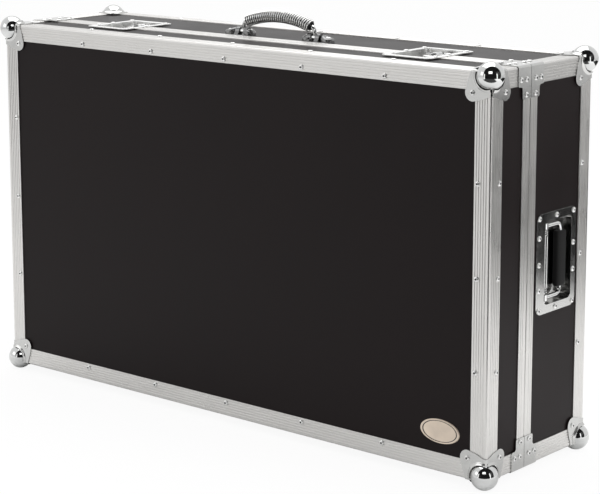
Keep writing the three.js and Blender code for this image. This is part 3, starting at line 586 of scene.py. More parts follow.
def spaced(start, end, count):
    return [start + i * (end - start) / (count - 1) for i in range(count)]


def note_rivet(body, spot, facing):
    RIVET_SPOTS.setdefault(body, []).append((Vector(spot) / MM, Vector(facing)))


def edge_of(level):
    return BOTTOM if level < 0 else TOP


def end_of(side):
    return side * HALF_LENGTH


# Edge angles: ribbed legs 30 mm wide, round at the arris

ANGLE_WIDTH = 30
ANGLE_RADIUS = 3
RIB_PLACES = (7.5, 12, 16.5, 21, 25.5)
EDGE_RIVET_INSET = 23
LONG_RIVET_INSET, LONG_RIVETS = 198.2, 5
POST_RIVET_INSET, POST_RIVETS = 170, 3


def groove(place, sizes, way=1):
    """The points of one groove, met along an outline in this way."""
    half, depth = sizes.rib_width * MM / 2 * way, sizes.rib_depth * MM
    return [(place - half, 0), (place - half / 3, depth), (place + half / 3, depth), (place + half, 0)]


def ribbed(start, end, sizes):
    """The points of a straight outer face that runs from start to end, with its grooves."""
    grooves = [groove(place, sizes) for place in RIB_PLACES if start + 1 < place < end - 1]
    return [(start, 0), *[point for points in grooves for point in points], (end, 0)]


def angle_outline(sizes):
    leg = ribbed(ANGLE_RADIUS, ANGLE_WIDTH - 0.5, sizes)
    arris = arc(ANGLE_RADIUS, ANGLE_RADIUS, ANGLE_RADIUS, math.pi, 1.5 * math.pi, 6)[1:-1]
    tip = [(ANGLE_WIDTH, 0.5), (ANGLE_WIDTH, SKIN), (SKIN, SKIN)]
    other = [(v, u) for u, v in leg][::-1]
    return [*arris, *leg, *tip, (SKIN, ANGLE_WIDTH), (0.5, ANGLE_WIDTH), *other]


def make_edge_angles(sizes):
    outline = angle_outline(sizes)
    for name, (face, outer) in HALVES.items():
        runs = []
        for level in ENDS:
            section = [(outer - face * u, edge_of(level) - level * v) for u, v in outline]
            runs.append(prism("x", section, -HALF_LENGTH, HALF_LENGTH).finished(0))
        for side in ENDS:
            section = [(end_of(side) - side * u, outer - face * v) for u, v in outline]
            runs.append(prism("z", section, BOTTOM + ANGLE_WIDTH, TOP - ANGLE_WIDTH).finished(2))
        near, far = sorted((outer - face * ANGLE_WIDTH, SPLIT + face * CLOSING_WIDTH))
        for side, level in CORNERS:
            section = [(edge_of(level) - level * u, end_of(side) - side * v) for u, v in outline]
            runs.append(prism("y", section, near, far).finished(1))
        piece(f"{name}_angles", joined(runs), ("aluminium_x", "aluminium_y", "aluminium_z"),
              name, f"{name}_edge_angles")
        for x in spaced(LONG_RIVET_INSET - HALF_LENGTH, HALF_LENGTH - LONG_RIVET_INSET, LONG_RIVETS):
            for level in ENDS:
                note_rivet(name, (x, outer, edge_of(level) - level * EDGE_RIVET_INSET), (0, face, 0))
                note_rivet(name, (x, outer - face * EDGE_RIVET_INSET, edge_of(level)), (0, 0, level))
        for z in spaced(BOTTOM + POST_RIVET_INSET, TOP - POST_RIVET_INSET, POST_RIVETS):
            for side in ENDS:
                note_rivet(name, (end_of(side) - side * EDGE_RIVET_INSET, outer, z), (0, face, 0))
                note_rivet(name, (end_of(side), outer - face * EDGE_RIVET_INSET, z), (side, 0, 0))


# Closing profiles: a tongue on the lid and a groove on the base

CLOSING_WIDTH = 19.5
CLOSING_WEB = 5
CLOSING_DEEP = 12
CLOSING_LIP = 10
CLOSING_RIBS = (14.5, 9.5)
# What stands out of the lid's lip or is let into the base's
CLOSING_LIPS = {-1: [(0, 5), (-3, 5.6), (-3, 7.4), (0, 8)], 1: [(0, 4.2), (3.6, 4.8), (3.6, 8.2), (0, 8.8)]}
LATCH_OPENING = 36.5
LATCH_BASE_OPENING = 63
POCKET_HALF = LATCH_OPENING + 1.5
LATCH_X = HALF_LENGTH - 201


def closing_outline(face, sizes):
    """The section of one half's profile: its lip has a tongue on the lid and a groove on the base."""
    points = [(CLOSING_WIDTH, 0.4), (CLOSING_WIDTH - 0.4, 0)]
    for place in CLOSING_RIBS:
        points += groove(place, sizes, -1)
    points += [(1.6, 0), (0.9, 0.5), (0.2, 1.8), *CLOSING_LIPS[face]]
    return points + [(0, CLOSING_DEEP), (CLOSING_LIP, CLOSING_DEEP), (CLOSING_LIP, WALL),
                     (CLOSING_WEB, WALL), (CLOSING_WEB, SKIN), (CLOSING_WIDTH, SKIN)]


def make_closing_profiles(sizes):
    near, far = LATCH_X - POCKET_HALF, LATCH_X + POCKET_HALF
    for name, (face, _) in HALVES.items():
        outline = closing_outline(face, sizes)
        low, high = ([(SPLIT + face * u, edge_of(level) - level * v) for u, v in outline] for level in ENDS)
        runs = [prism("x", low, -HALF_LENGTH, HALF_LENGTH), prism("x", high, -HALF_LENGTH, -far),
                prism("x", high, far, HALF_LENGTH)]
        for side in ENDS:
            section = [(end_of(side) - side * v, SPLIT + face * u) for u, v in outline]
            runs.append(prism("z", section, BOTTOM + CLOSING_DEEP, TOP - CLOSING_DEEP).finished(1))
        piece(f"{name}_closing", joined(runs), ("aluminium_x", "aluminium_z"), name,
              f"{name}_closing_frame")
        piece(f"{name}_closing_between_latches", prism("x", high, -near, near), ("aluminium_x",),
              name, f"{name}_closing_middle")


# Ball corners

BALL_RADIUS = 21.5
BALL_INSET = 8
FLANGE = 1.2
FLANGE_ARRIS = 38
ARRIS_ROUND = 3.6
LOBE, LOBE_RADIUS = 34, 13.2
# Beyond the end of every corner piece, for the solids that cut it
FAR = 90
# Radii and heights over the flange of the ring that is pressed round the ball
COLLAR = ((20, -0.6), (24.6, -0.6), (24.4, 0.2), (23.4, 0.7), (22.2, 1.8), (20, 2.6))


def ball_shape():
    rows = 24
    profile = [(BALL_RADIUS * math.sin(math.pi * i / rows) if 0 < i < rows else 0,
                -BALL_RADIUS * math.cos(math.pi * i / rows)) for i in range(rows + 1)]
    return lathe(profile, 48).moved(-BALL_INSET, -BALL_INSET, -BALL_INSET)


def flange_outline():
    """Round lobes for the rivets, with smooth valleys between them at the arrises."""
    start = -0.45
    lobe = arc(LOBE, LOBE, LOBE_RADIUS, start, QUARTER - start, 20)
    valley = [(FLANGE_ARRIS, 0), (38.4, 4), (39.6, 8), (41.6, 12.5), (44, 19)]
    return [(-a, -b) for a, b in [
        (-FLANGE, -FLANGE), (FLANGE_ARRIS, -FLANGE), *valley, *lobe,
        *[(b, a) for a, b in valley[::-1]], (-FLANGE, FLANGE_ARRIS)]]


def arris_tool(axis, low, high):
    """What is taken off a pressed piece so that it runs round an arris."""
    middle = FLANGE - ARRIS_ROUND
    outline = [(FLANGE + 1, middle), (FLANGE + 1, FLANGE + 1), (middle, FLANGE + 1),
               *arc(middle, middle, ARRIS_ROUND, QUARTER, 0, 8)]
    return prism(axis, outline, low, high)


def on_three_faces(shape):
    """A shape on the XY face of a corner, and its copies on the other two faces."""
    return joined([shape, Shape([(c, a, b) for a, b, c in shape.points], shape.faces),
                   Shape([(b, c, a) for a, b, c in shape.points], shape.faces)])


def make_ball_corners():
    outline = flange_outline()
    flanges = [prism(axis, outline, 0, FLANGE) for axis in "xyz"]
    case = block(-FAR, 0, -FAR, 0, -FAR, 0)
    corner = worked("ball_corner", flanges[0], flanges[1:],
                    [case, *[arris_tool(axis, -FAR, 9) for axis in "xyz"]], edge=0.45)
    collar = lathe([(radius, FLANGE + height) for radius, height in COLLAR], 64)
    collar = worked("collar", collar.moved(-BALL_INSET, -BALL_INSET), (),
                    [block(-1.5, FAR, -FAR, FAR, -9, 9), block(-FAR, FAR, -1.5, FAR, -9, 9)])
    ball = worked("ball", ball_shape(), (), [case])
    whole = corner + on_three_faces(collar) + ball.finished(1)
    for name, (face, outer) in HALVES.items():
        for side, level in CORNERS:
            place = Vector((end_of(side), outer, edge_of(level)))
            label = f"{SIDE_NAMES[side]}_{LEVEL_NAMES[level]}"
            piece(f"{name}_ball_{label}", whole.scaled(side, face, level).moved(*place), ("zinc", "ball"),
                  name, f"{name}_ball_corner_{label}")
            for axis, way in enumerate((side, face, level)):
                spot = Vector((side, face, level)) * -LOBE
                spot[axis] = way * FLANGE
                note_rivet(name, place + spot, [way * (i == axis) for i in range(3)])


# Corner braces over the closing line

BRACE = 1.2
BRACE_SPOTS = ((12.5, 20.5), (27, 20.5), (12.5, 44))


def brace_outline():
    reach, shoulder, neck, deep, corner, gap = 34.5, 31.5, 23, 50, 3, 0.4
    hollow = arc(neck + corner * 1.6, shoulder + corner * 1.6, corner * 1.6, -QUARTER, -2 * QUARTER, 6)
    return [(gap, -BRACE), (reach, -BRACE),
            *arc(reach - corner, shoulder - corner, corner, 0, QUARTER, 6), *hollow,
            *arc(neck - corner, deep - corner, corner, 0, QUARTER, 6), (gap, deep)]


def make_corner_braces():
    outline = brace_outline()
    brace = worked("brace", prism("z", [(-v, u) for u, v in outline], 0, BRACE),
                   [prism("x", [(u, -v) for u, v in outline], 0, BRACE)],
                   [arris_tool("y", -9, FAR)], edge=0.35)
    for name, (face, _) in HALVES.items():
        for side, level in CORNERS:
            place = Vector((end_of(side), SPLIT, edge_of(level)))
            label = f"{SIDE_NAMES[side]}_{LEVEL_NAMES[level]}"
            piece(f"{name}_brace_{label}", brace.scaled(side, face, level).moved(*place), ("zinc",),
                  name, f"{name}_corner_brace_{label}")
            for u, v in BRACE_SPOTS:
                note_rivet(name, place + Vector((-v * side, u * face, BRACE * level)), (0, 0, level))
                note_rivet(name, place + Vector((BRACE * side, u * face, -v * level)), (side, 0, 0))


# Rivets

def head_object():
    """A rivet head of unit size: a low dome with the hollow that its broken-off mandrel leaves."""
    dome = [(0, -0.1), (1, -0.1), (1, 0.12), (0.94, 0.42), (0.8, 0.72), (0.6, 0.92), (0.38, 1)]
    hollow = [(0.38, 1), (0.28, 0.9), (0.25, 0.35), (0, 0.3)]
    outer, inner = lathe(dome, 16), lathe(hollow, 16)
    shape = outer + inner
    mesh = bpy.data.meshes.new("rivet_head")
    mesh.from_pydata(shape.points, [], shape.faces)
    # Marks the hollow's faces, which are coloured near black as painted shade.
    flag = mesh.attributes.new("hollow", "BOOLEAN", "FACE")
    flag.data.foreach_set("value", [i >= len(outer.faces) for i in range(len(shape.faces))])
    mesh.polygons.foreach_set("use_smooth", [True] * len(mesh.polygons))
    mesh.update()
    return linked("rivet_head", mesh)


def make_rivets(sizes):
    tree, head = rivet_tree(), head_object()
    for body, spots in RIVET_SPOTS.items():
        mesh = bpy.data.meshes.new(f"{body}_rivet_spots")
        mesh.from_pydata([spot for spot, _ in spots], [], [])
        facing = mesh.attributes.new("facing", "FLOAT_VECTOR", "POINT")
        facing.data.foreach_set("vector", [c for _, way in spots for c in way])
        made = grown(linked(mesh.name, mesh), tree, {
            "Head": head, "Head Radius": sizes.rivet_radius, "Head Height": sizes.rivet_height,
            "Metal": FINISHES["rivet"], "Hollow": FINISHES["hole"]})
        seat(linked(f"{body}_rivets", made), body)
    discard(head)


# Butterfly latches

LATCH_HALF = 47.5
LATCH_DEPTH = 13
LATCH_WALL = 1.2
LATCH_PLATE = 1.5
LATCH_FLOOR = TOP - LATCH_DEPTH
ROTOR_Y = SPLIT + 41.2
HOOK_Y, HOOK_Z = SPLIT + 24.4, TOP - 7.4
HOOK_HALF, HOOK_EAR = 11, 13.3
HOOK_PIN, HOOK_ROLL, HOOK_THICK = 1.5, 2.8, 1.6
# How far the hook reaches over the closing line and how far it turns down there
HOOK_TIP, HOOK_DROP = 21, 3.8
# Half the length, and the near and far side, of the bar in the lid that the hook pulls at
STRIKE_HALF, STRIKE_NEAR, STRIKE_FAR = 17, 15.7, 18.7
ROTOR_EAR, ROTOR_PIN = 10, 1.6
# How far a dish's plate and its recess reach from the closing line, on the lid and on the base
PLATE_REACHES = {-1: 47, 1: 74}
PAN_REACHES = {-1: 36, 1: LATCH_BASE_OPENING}
PLATE_CORNER, PAN_CORNER = 6, 8
PLATE_RIVETS = (("base", 61.6), ("base", 12.4), ("lid", -23.5))
# Radii and heights over the recess's floor of the turning disc
DISC = ((0, 0.3), (13, 0.3), (13, 3.4), (12.2, 4.2), (9.6, 4.2), (9, 5.7), (0, 5.7))
WING_Z = TOP - 3.5
WING_ROOT, WING_REACH, WING_HALF = 4.6, 21, 12
WING_THICK, WING_RIM, WING_KNUCKLE = 1.4, 0.35, 3
WING_HOLE, WING_HOLE_RADIUS = 14.2, 3.4


def latch_outline(face, half, near, far, radius, steps):
    """Square along the closing line, with round corners at the far end."""
    centre = far - face * radius
    return [(-half, near), (half, near), *arc(half - radius, centre, radius, 0, face * QUARTER, steps),
            *arc(radius - half, centre, radius, face * QUARTER, face * 2 * QUARTER, steps)]


def latch_pan(face, grow, low, high, start):
    """The recess of one half of a latch: open towards the closing line."""
    far = SPLIT + face * (PAN_REACHES[face] + grow)
    return prism("z", latch_outline(face, LATCH_OPENING + grow, start, far, PAN_CORNER + grow, 6), low, high)


def latch_dish(face, additions):
    near, far = SPLIT + face * 0.4, SPLIT + face * PLATE_REACHES[face]
    plate = prism("z", latch_outline(face, LATCH_HALF, near, far, PLATE_CORNER, 5), TOP, TOP + LATCH_PLATE)
    pan = latch_pan(face, LATCH_WALL, LATCH_FLOOR - LATCH_WALL, TOP + LATCH_PLATE, near)
    hollow = latch_pan(face, 0, LATCH_FLOOR, TOP + 5, SPLIT - face * 5)
    return worked("latch_dish", plate, [pan], [hollow], edge=0.55) + joined(additions)


def make_wing(side):
    """One lobe of the butterfly, with a raised rim, a finger hole and a knuckle on half of the pin."""
    low, high = WING_Z - WING_THICK / 2, WING_Z + WING_THICK / 2
    shoulder = WING_REACH - WING_HALF / 2
    tip = arc(WING_REACH - WING_HALF, ROTOR_Y, WING_HALF, -math.pi / 3, math.pi / 3, 12)
    outline = [(WING_ROOT, ROTOR_Y - WING_HALF), (shoulder, ROTOR_Y - WING_HALF), *tip,
               (shoulder, ROTOR_Y + WING_HALF), (WING_ROOT, ROTOR_Y + WING_HALF)]
    inner = [(WING_ROOT + (x - WING_ROOT) * 0.88, ROTOR_Y + (y - ROTOR_Y) * 0.86) for x, y in outline]
    dip = prism("z", inner, high, WING_Z + 3)
    hole = rod("z", WING_HOLE, ROTOR_Y, WING_HOLE_RADIUS, WING_Z - 2, WING_Z + 3)
    y0, y1 = ROTOR_Y - 8.65, ROTOR_Y - 0.15
    knuckle = rod("y", WING_Z, 0, WING_KNUCKLE, y0, y1, 20)
    web = block(0, WING_ROOT + 1.4, y0, y1, low, high)
    shape = worked("wing", prism("z", outline, low, high + WING_RIM), [knuckle, web], [dip, hole], edge=0.25)
    return shape if side > 0 else shape.moved(y=-ROTOR_Y).scaled(-1, -1, 1).moved(y=ROTOR_Y)


def make_rotor():
    """The turning disc, with two ears and the pin that the wings fold on."""
    disc = lathe([(radius, LATCH_FLOOR + height) for radius, height in DISC], 40, "z", 0, ROTOR_Y)
    ears = [block(-3.5, 3.5, ROTOR_Y + y - 1, ROTOR_Y + y + 1, LATCH_FLOOR + 5.4, WING_Z + 2.5)
            for y in (-ROTOR_EAR, ROTOR_EAR)]
    ears = [worked("rotor_ear", ear, edge=0.7) for ear in ears]
    half = ROTOR_EAR + 1.4
    return joined([disc, *ears, rod("y", WING_Z, 0, ROTOR_PIN, ROTOR_Y - half, ROTOR_Y + half, 20, 0.4)])


def make_hook():
    """A flat hook with a slot in it, rolled round its pin and turned down at its tip."""
    half, tip = HOOK_HALF, SPLIT - HOOK_TIP
    low, high = HOOK_Z - HOOK_THICK / 2, HOOK_Z + HOOK_THICK / 2
    return worked("hook", rod("x", HOOK_Y, HOOK_Z, HOOK_ROLL, -half, half),
                  [block(-half, half, tip, HOOK_Y, low, high),
                   block(-half, half, tip, tip + 1.7, low - HOOK_DROP, high)],
                  [rod("x", HOOK_Y, HOOK_Z, HOOK_PIN + 0.3, -half - 1, half + 1, 20),
                   block(-5, 5, SPLIT - 12, HOOK_Y - 7, low - 1, low + 3)], edge=0.3)


def make_latches():
    ears = [worked("hook_ear", block(x - 2, x + 2, HOOK_Y - 3, HOOK_Y + 3, LATCH_FLOOR, HOOK_Z + 3),
                   edge=0.8, steps=3) for x in (-HOOK_EAR, HOOK_EAR)]
    pin = rod("x", HOOK_Y, HOOK_Z, HOOK_PIN, -HOOK_EAR - 2.5, HOOK_EAR + 2.5, 20, 0.4)
    base_dish = latch_dish(1, [*ears, pin])
    bar = block(-STRIKE_HALF, STRIKE_HALF, SPLIT - STRIKE_FAR, SPLIT - STRIKE_NEAR,
                LATCH_FLOOR - 0.1, LATCH_FLOOR + 4.5)
    lid_dish = latch_dish(-1, [worked("strike_bar", bar, edge=0.6)])
    rotor, hook = make_rotor(), make_hook()
    for side in ENDS:
        label, x = SIDE_NAMES[side], side * LATCH_X
        for name, shape, finish, body, slot, node in (
                ("base", base_dish, "dish", "base", "zinc", "dish"),
                ("lid", lid_dish, "dish", "lid", "zinc", "strike"),
                ("turn", rotor, "bracket", f"latch_rotor_{label}", "zinc", "rotor"),
                ("catch", hook, "chrome", f"latch_hook_{label}", "steel", "hook")):
            piece(f"latch_{name}_{label}", shape.moved(x), (finish,), body, f"latch_{node}_{label}")
        for word, way in (("near", -1), ("far", 1)):
            name = f"latch_wing_{word}_{label}"
            piece(f"latch_leaf_{word}_{label}", make_wing(way).moved(x), ("chrome",), name, name)
        for way in ENDS:
            for body, y in PLATE_RIVETS:
                note_rivet(body, (x + way * 41.3, SPLIT + y, TOP + LATCH_PLATE), (0, 0, 1))


# Sprung carrying handle

HANDLE_Y = SPLIT + 38.2
HANDLE_Z = TOP + 5.2
HANDLE_LEG = 79
ARCH_RADIUS, ARCH_HALF, ARCH_TOP = 208, 70.5, 35.55
ARCH_Z = TOP + ARCH_TOP - ARCH_RADIUS
ARCH_ANGLE = math.asin(ARCH_HALF / ARCH_RADIUS)

# Half width of a bracket's feet, their profiles from the edge to the middle as shares of it and heights,
# and how much higher a foot is at the ears than at its tip
LOBE_HALF = 10.6
LOBES = {
    -1: ([(1, 0.6), (1, 4.6), (0.97, 5.6), (0.9, 7), (0.78, 8.6), (0.62, 9.9), (0.5, 10.3),
          (0.42, 9.9), (0, 9.8)], 0.05),
    1: ([(1, 0.6), (1, 4.2), (0.975, 5.2), (0.91, 6.4), (0.78, 7.6), (0.62, 8.3), (0.5, 8.4),
         (0.42, 8), (0, 7.8)], 0.75),
}
# Where the inner and the outer foot are, and how high their rivets sit
FOOT_X = {-1: 64.5, 1: 107.5}
FOOT_RIVET = {-1: 9.8, 1: 7.8}
BRACKET_START, BRACKET_END, BRACKET_HALF = 54.5, 117.5, 12
EAR_PLACES, EAR_HALF_THICK, EAR_FOOT_HALF, EAR_RADIUS = (70, 88), 4.5, 11, 7.2
HANDLE_PIN = 2.6
CORE_RADIUS, LEG_RADIUS, EYE_RADIUS = 7.3, 3.6, 5
EYE_START, EYE_END = HANDLE_LEG - 4.2, HANDLE_LEG + 4.2


def bracket_lobe(way):
    """A domed foot of a bracket, steep at the sides and higher towards the ears."""
    foot, middle = TOP - SKIN, FOOT_X[way]
    rows, slope = LOBES[way]
    dome = lathe([(LOBE_HALF * share, foot + height) for share, height in rows], 40)
    points = []
    for x, y, z in dome.points:
        rise = slope * max(0, -x * way) / LOBE_HALF
        stretch = 0.94 if x * way > 0 else 1.4
        points.append((middle + x * stretch, HANDLE_Y + y, foot + (z - foot) * (1 + rise)))
    return Shape(points, dome.faces)


def make_bracket():
    """A plate with two ears, a domed foot at each end and the pin of the handle's eye."""
    foot = TOP - SKIN
    outline = rounded(BRACKET_START, BRACKET_END, HANDLE_Y - BRACKET_HALF, HANDLE_Y + BRACKET_HALF, 11.5)
    ear = [(HANDLE_Y - EAR_FOOT_HALF, foot + 0.7), (HANDLE_Y + EAR_FOOT_HALF, foot + 0.7),
           *arc(HANDLE_Y, HANDLE_Z, EAR_RADIUS, 0, math.pi, 20)]
    ears = [prism("x", ear, x - EAR_HALF_THICK, x + EAR_HALF_THICK) for x in EAR_PLACES]
    plate = worked("bracket", prism("z", outline, foot, foot + 1.5), ears, edge=0.9, steps=3)
    pin = rod("x", HANDLE_Y, HANDLE_Z, HANDLE_PIN, EAR_PLACES[0] - 5, EAR_PLACES[1] + 4.9, 24, 0.5)
    return joined([plate, bracket_lobe(-1), bracket_lobe(1), pin])


def on_arch(angle):
    return (ARCH_RADIUS * math.sin(angle), HANDLE_Y, ARCH_Z + ARCH_RADIUS * math.cos(angle))


def leg_path():
    """From the arch's end, round a soft bend and down to the pin."""
    start, _, height = on_arch(ARCH_ANGLE)
    drop = HANDLE_LEG - ARCH_HALF
    bend = (HANDLE_LEG, height - drop * math.tan(ARCH_ANGLE))
    low = (HANDLE_LEG, bend[1] - drop)
    path = []
    for i in range(11):
        t = i / 10
        path.append([(1 - t) ** 2 * a + 2 * t * (1 - t) * b + t * t * c
                     for a, b, c in zip((start, height), bend, low)])
    path += [(HANDLE_LEG, low[1] + (HANDLE_Z - low[1]) * i / 4) for i in range(1, 5)]
    return [(x, HANDLE_Y, z) for x, z in path]


def make_top_handle(sizes):
    bracket = make_bracket()
    for side in ENDS:
        label = SIDE_NAMES[side]
        piece(f"handle_foot_{label}", bracket.scaled(side, 1, 1), ("bracket",), "base",
              f"handle_bracket_{label}")
        for way in ENDS:
            note_rivet("base", (side * FOOT_X[way], HANDLE_Y, TOP - SKIN + FOOT_RIVET[way]), (0, 0, 1))

    core = tube([on_arch(ARCH_ANGLE * (i / 24 * 2 - 1)) for i in range(25)], CORE_RADIUS, 20)
    end = worked("handle_eye", tube(leg_path(), LEG_RADIUS, 20),
                 [rod("x", HANDLE_Y, HANDLE_Z, EYE_RADIUS, EYE_START, EYE_END, 28)],
                 [rod("x", HANDLE_Y, HANDLE_Z, HANDLE_PIN + 0.3, *EAR_PLACES)], edge=0.3)
    ends = joined([end, end.scaled(-1, 1, 1)]).finished(1)
    piece("handle_strap", core + ends, ("core", "chrome"), "handle", "handle_core")

    start = mesh_of("handle_coil_start", block(0, 1, 0, 1, 0, 1))
    made = grown(linked(start.name, start), coil_tree(), {
        "Arch Centre": (0, HANDLE_Y / MM, ARCH_Z / MM), "Arch Radius": ARCH_RADIUS / MM,
        "Arch Half Angle": ARCH_ANGLE, "Coil Radius": sizes.coil_radius, "Wire Radius": sizes.coil_wire,
        "Curls": sizes.coil_curls, "Wire": FINISHES["coil"]})
    coil = linked("handle_grip_coil", made)
    seat(coil, "handle")
    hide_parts("handle_coil")


# Recessed side handles

DISH_NEAR, DISH_FAR = SPLIT + CLOSING_WIDTH + 6.7, BACK - ANGLE_WIDTH - 5.6
OPENING_NEAR, OPENING_FAR, OPENING_HALF = DISH_NEAR + 23, DISH_FAR - 12, 66.5
DISH_X = HALF_LENGTH - SKIN + 1.5
PIN_X, PIN_Y = DISH_X - 7.5, OPENING_NEAR + 10.5
GRIP_Y = OPENING_NEAR + 0.704 * (OPENING_FAR - OPENING_NEAR)
GRIP_HALF_WIDTH = 0.329 * (OPENING_FAR - OPENING_NEAR) / 2
BAIL_HALF = OPENING_HALF - 9.5
BAIL_RADIUS = 3.8
GRIP_HALF_DEPTH = 6.5
# 1 would leave the grip's section round
GRIP_SQUARENESS = 0.62
SIDE_PIN, SIDE_PIN_HALF, SIDE_EYE = 2.5, 66.2, 5.5
DISH_HALF, DISH_THICK, DISH_DEPTH, DISH_WALL = 80, 1.5, 16, 1.2
DISH_RIVET_HALF = 73
DISH_RIVETS = ((DISH_NEAR + 7, (-1, -0.56, 0, 0.58, 1)), (DISH_FAR - 7, (-1, -0.3, 0.29, 1)),
               ((DISH_NEAR + DISH_FAR) / 2, ENDS))


def side_opening(grow, low, high):
    return prism("x", rounded(OPENING_NEAR - grow, OPENING_FAR + grow, MIDDLE_Z - OPENING_HALF - grow,
                              MIDDLE_Z + OPENING_HALF + grow, 9 + grow), low, high)


def bail_path():
    bend = 11
    points = [(PIN_Y, BAIL_HALF), *arc(GRIP_Y - bend, BAIL_HALF - bend, bend, QUARTER, 0, 10),
              *arc(GRIP_Y - bend, bend - BAIL_HALF, bend, 0, -QUARTER, 10), (PIN_Y, -BAIL_HALF)]
    return [(PIN_X, y, MIDDLE_Z + z) for y, z in points]


def side_spring_path():
    """The wire of both springs of a side handle: a few curls round the pin at each end of it."""
    curls, steps, pitch, half, radius = 3, 20, 3.4, OPENING_HALF - 15.5, 4.6
    points = []
    for start in (-half, half - curls * pitch):
        for i in range(curls * steps + 1):
            angle = 2 * math.pi * i / steps
            points.append((PIN_X + radius * math.cos(angle), PIN_Y + radius * math.sin(angle),
                           MIDDLE_Z + start + pitch * i / steps))
    return points


def side_grip():
    """A sleeve with soft ends, whose round section is moved out towards a rounded square."""
    profile = [(0, -44), (0.82, -44), (0.93, -42.5), (1, -40), (1, 40), (0.93, 42.5), (0.82, 44), (0, 44)]
    sleeve = lathe(profile, 48)
    points = []
    for x, y, z in sleeve.points:
        a, b = (math.copysign(abs(c) ** GRIP_SQUARENESS, c) for c in (x, y))
        points.append((PIN_X + GRIP_HALF_DEPTH * a, GRIP_Y + GRIP_HALF_WIDTH * b, MIDDLE_Z + z))
    return Shape(points, sleeve.faces)


def make_side_handles():
    outline = rounded(DISH_NEAR, DISH_FAR, MIDDLE_Z - DISH_HALF, MIDDLE_Z + DISH_HALF, 14)
    dish = worked("side_dish", prism("x", outline, DISH_X - DISH_THICK, DISH_X),
                  [side_opening(DISH_WALL, DISH_X - DISH_DEPTH - DISH_WALL, DISH_X)],
                  [side_opening(0, DISH_X - DISH_DEPTH, DISH_X + 5)], edge=0.7, steps=3)
    eyes = [rod("z", PIN_X, PIN_Y, SIDE_EYE, MIDDLE_Z + z - 5, MIDDLE_Z + z + 5, 28, 0.5)
            for z in (-BAIL_HALF, BAIL_HALF)]
    bore = rod("z", PIN_X, PIN_Y, SIDE_PIN + 0.3, BOTTOM, TOP, 20)
    bail = worked("bail", tube(bail_path(), BAIL_RADIUS, 20), eyes, [bore])
    pin = rod("z", PIN_X, PIN_Y, SIDE_PIN, MIDDLE_Z - SIDE_PIN_HALF, MIDDLE_Z + SIDE_PIN_HALF, 20, 0.3)
    grip, spring = side_grip(), tube(side_spring_path(), 0.8, 8)
    for side in ENDS:
        label = SIDE_NAMES[side]
        handle = f"side_handle_{label}"
        for name, shape, finish, body, slot, node in (
                ("dish", dish, "zinc", "base", "zinc", "dish"),
                ("rod", bail, "chrome", handle, "steel", "bail"),
                ("sleeve", grip, "rubber", handle, "rubber", "grip"),
                ("axle", pin, "chrome", "base", "steel", "pin"),
                ("return_wire", spring, "chrome", "base", "steel", "spring")):
            piece(f"side_{name}_{label}", shape.scaled(side, 1, 1), (finish,), body,
                  f"side_handle_{node}_{label}")
        for y, shares in DISH_RIVETS:
            for share in shares:
                note_rivet("base", (side * DISH_X, y, MIDDLE_Z + share * DISH_RIVET_HALF), (side, 0, 0))


# Hinges under the closing line

HINGE_Z = BOTTOM - 4.5
HINGE_X = HALF_LENGTH - 199
HINGE_HALF, HINGE_LEAF, HINGE_THICK = 30, 22, 1.5
HINGE_ROLL, HINGE_PIN = 4, 2
# The base's knuckles end here, and the lid's knuckle a little nearer to the middle
KNUCKLE, LID_KNUCKLE = 12, 11.7


def hinge_half(name, face, knuckles, cut):
    """A leaf on one side of the closing line, rolled round the pin where its knuckles are."""
    near, reach, roll = (SPLIT + face * y for y in (0.3, HINGE_LEAF, HINGE_ROLL))
    under = BOTTOM - HINGE_THICK
    leaf = prism("x", [(near, HINGE_Z), (near, BOTTOM), (reach, BOTTOM), (reach, under),
                       (roll, under), (roll, HINGE_Z)], -HINGE_HALF, HINGE_HALF)
    rolls = [rod("x", SPLIT, HINGE_Z, HINGE_ROLL, low, high, 28) for low, high in knuckles]
    return worked(name, leaf, rolls, cut, edge=0.3)


def make_hinges():
    def clear(low, high):
        room = HINGE_ROLL + 0.3
        return block(low, high, SPLIT - room, SPLIT + room, HINGE_Z - room, BOTTOM + 4)

    base = hinge_half("hinge_base", 1, [(-HINGE_HALF, -KNUCKLE), (KNUCKLE, HINGE_HALF)],
                      [clear(-KNUCKLE, KNUCKLE)])
    base = base + rod("x", SPLIT, HINGE_Z, HINGE_PIN, -HINGE_HALF - 0.4, HINGE_HALF + 0.4, 20, 0.3)
    lid = hinge_half("hinge_lid", -1, [(-LID_KNUCKLE, LID_KNUCKLE)],
                     [clear(-HINGE_HALF - 10, -LID_KNUCKLE), clear(LID_KNUCKLE, HINGE_HALF + 10),
                      rod("x", SPLIT, HINGE_Z, HINGE_PIN + 0.3, -20, 20, 20)])
    for side in ENDS:
        label, x = SIDE_NAMES[side], side * HINGE_X
        for name, face, shape in (("base", 1, base), ("lid", -1, lid)):
            piece(f"hinge_plate_{name}_{label}", shape.moved(x), ("zinc",), name,
                  f"hinge_{name}_leaf_{label}")
            for way in ENDS:
                note_rivet(name, (x + way * 20, SPLIT + face * 14, BOTTOM - HINGE_THICK), (0, 0, -1))


# Foam lining

FOAM_GAP = 0.3
FOAM_THICK = 10
FOAM_BED = 20


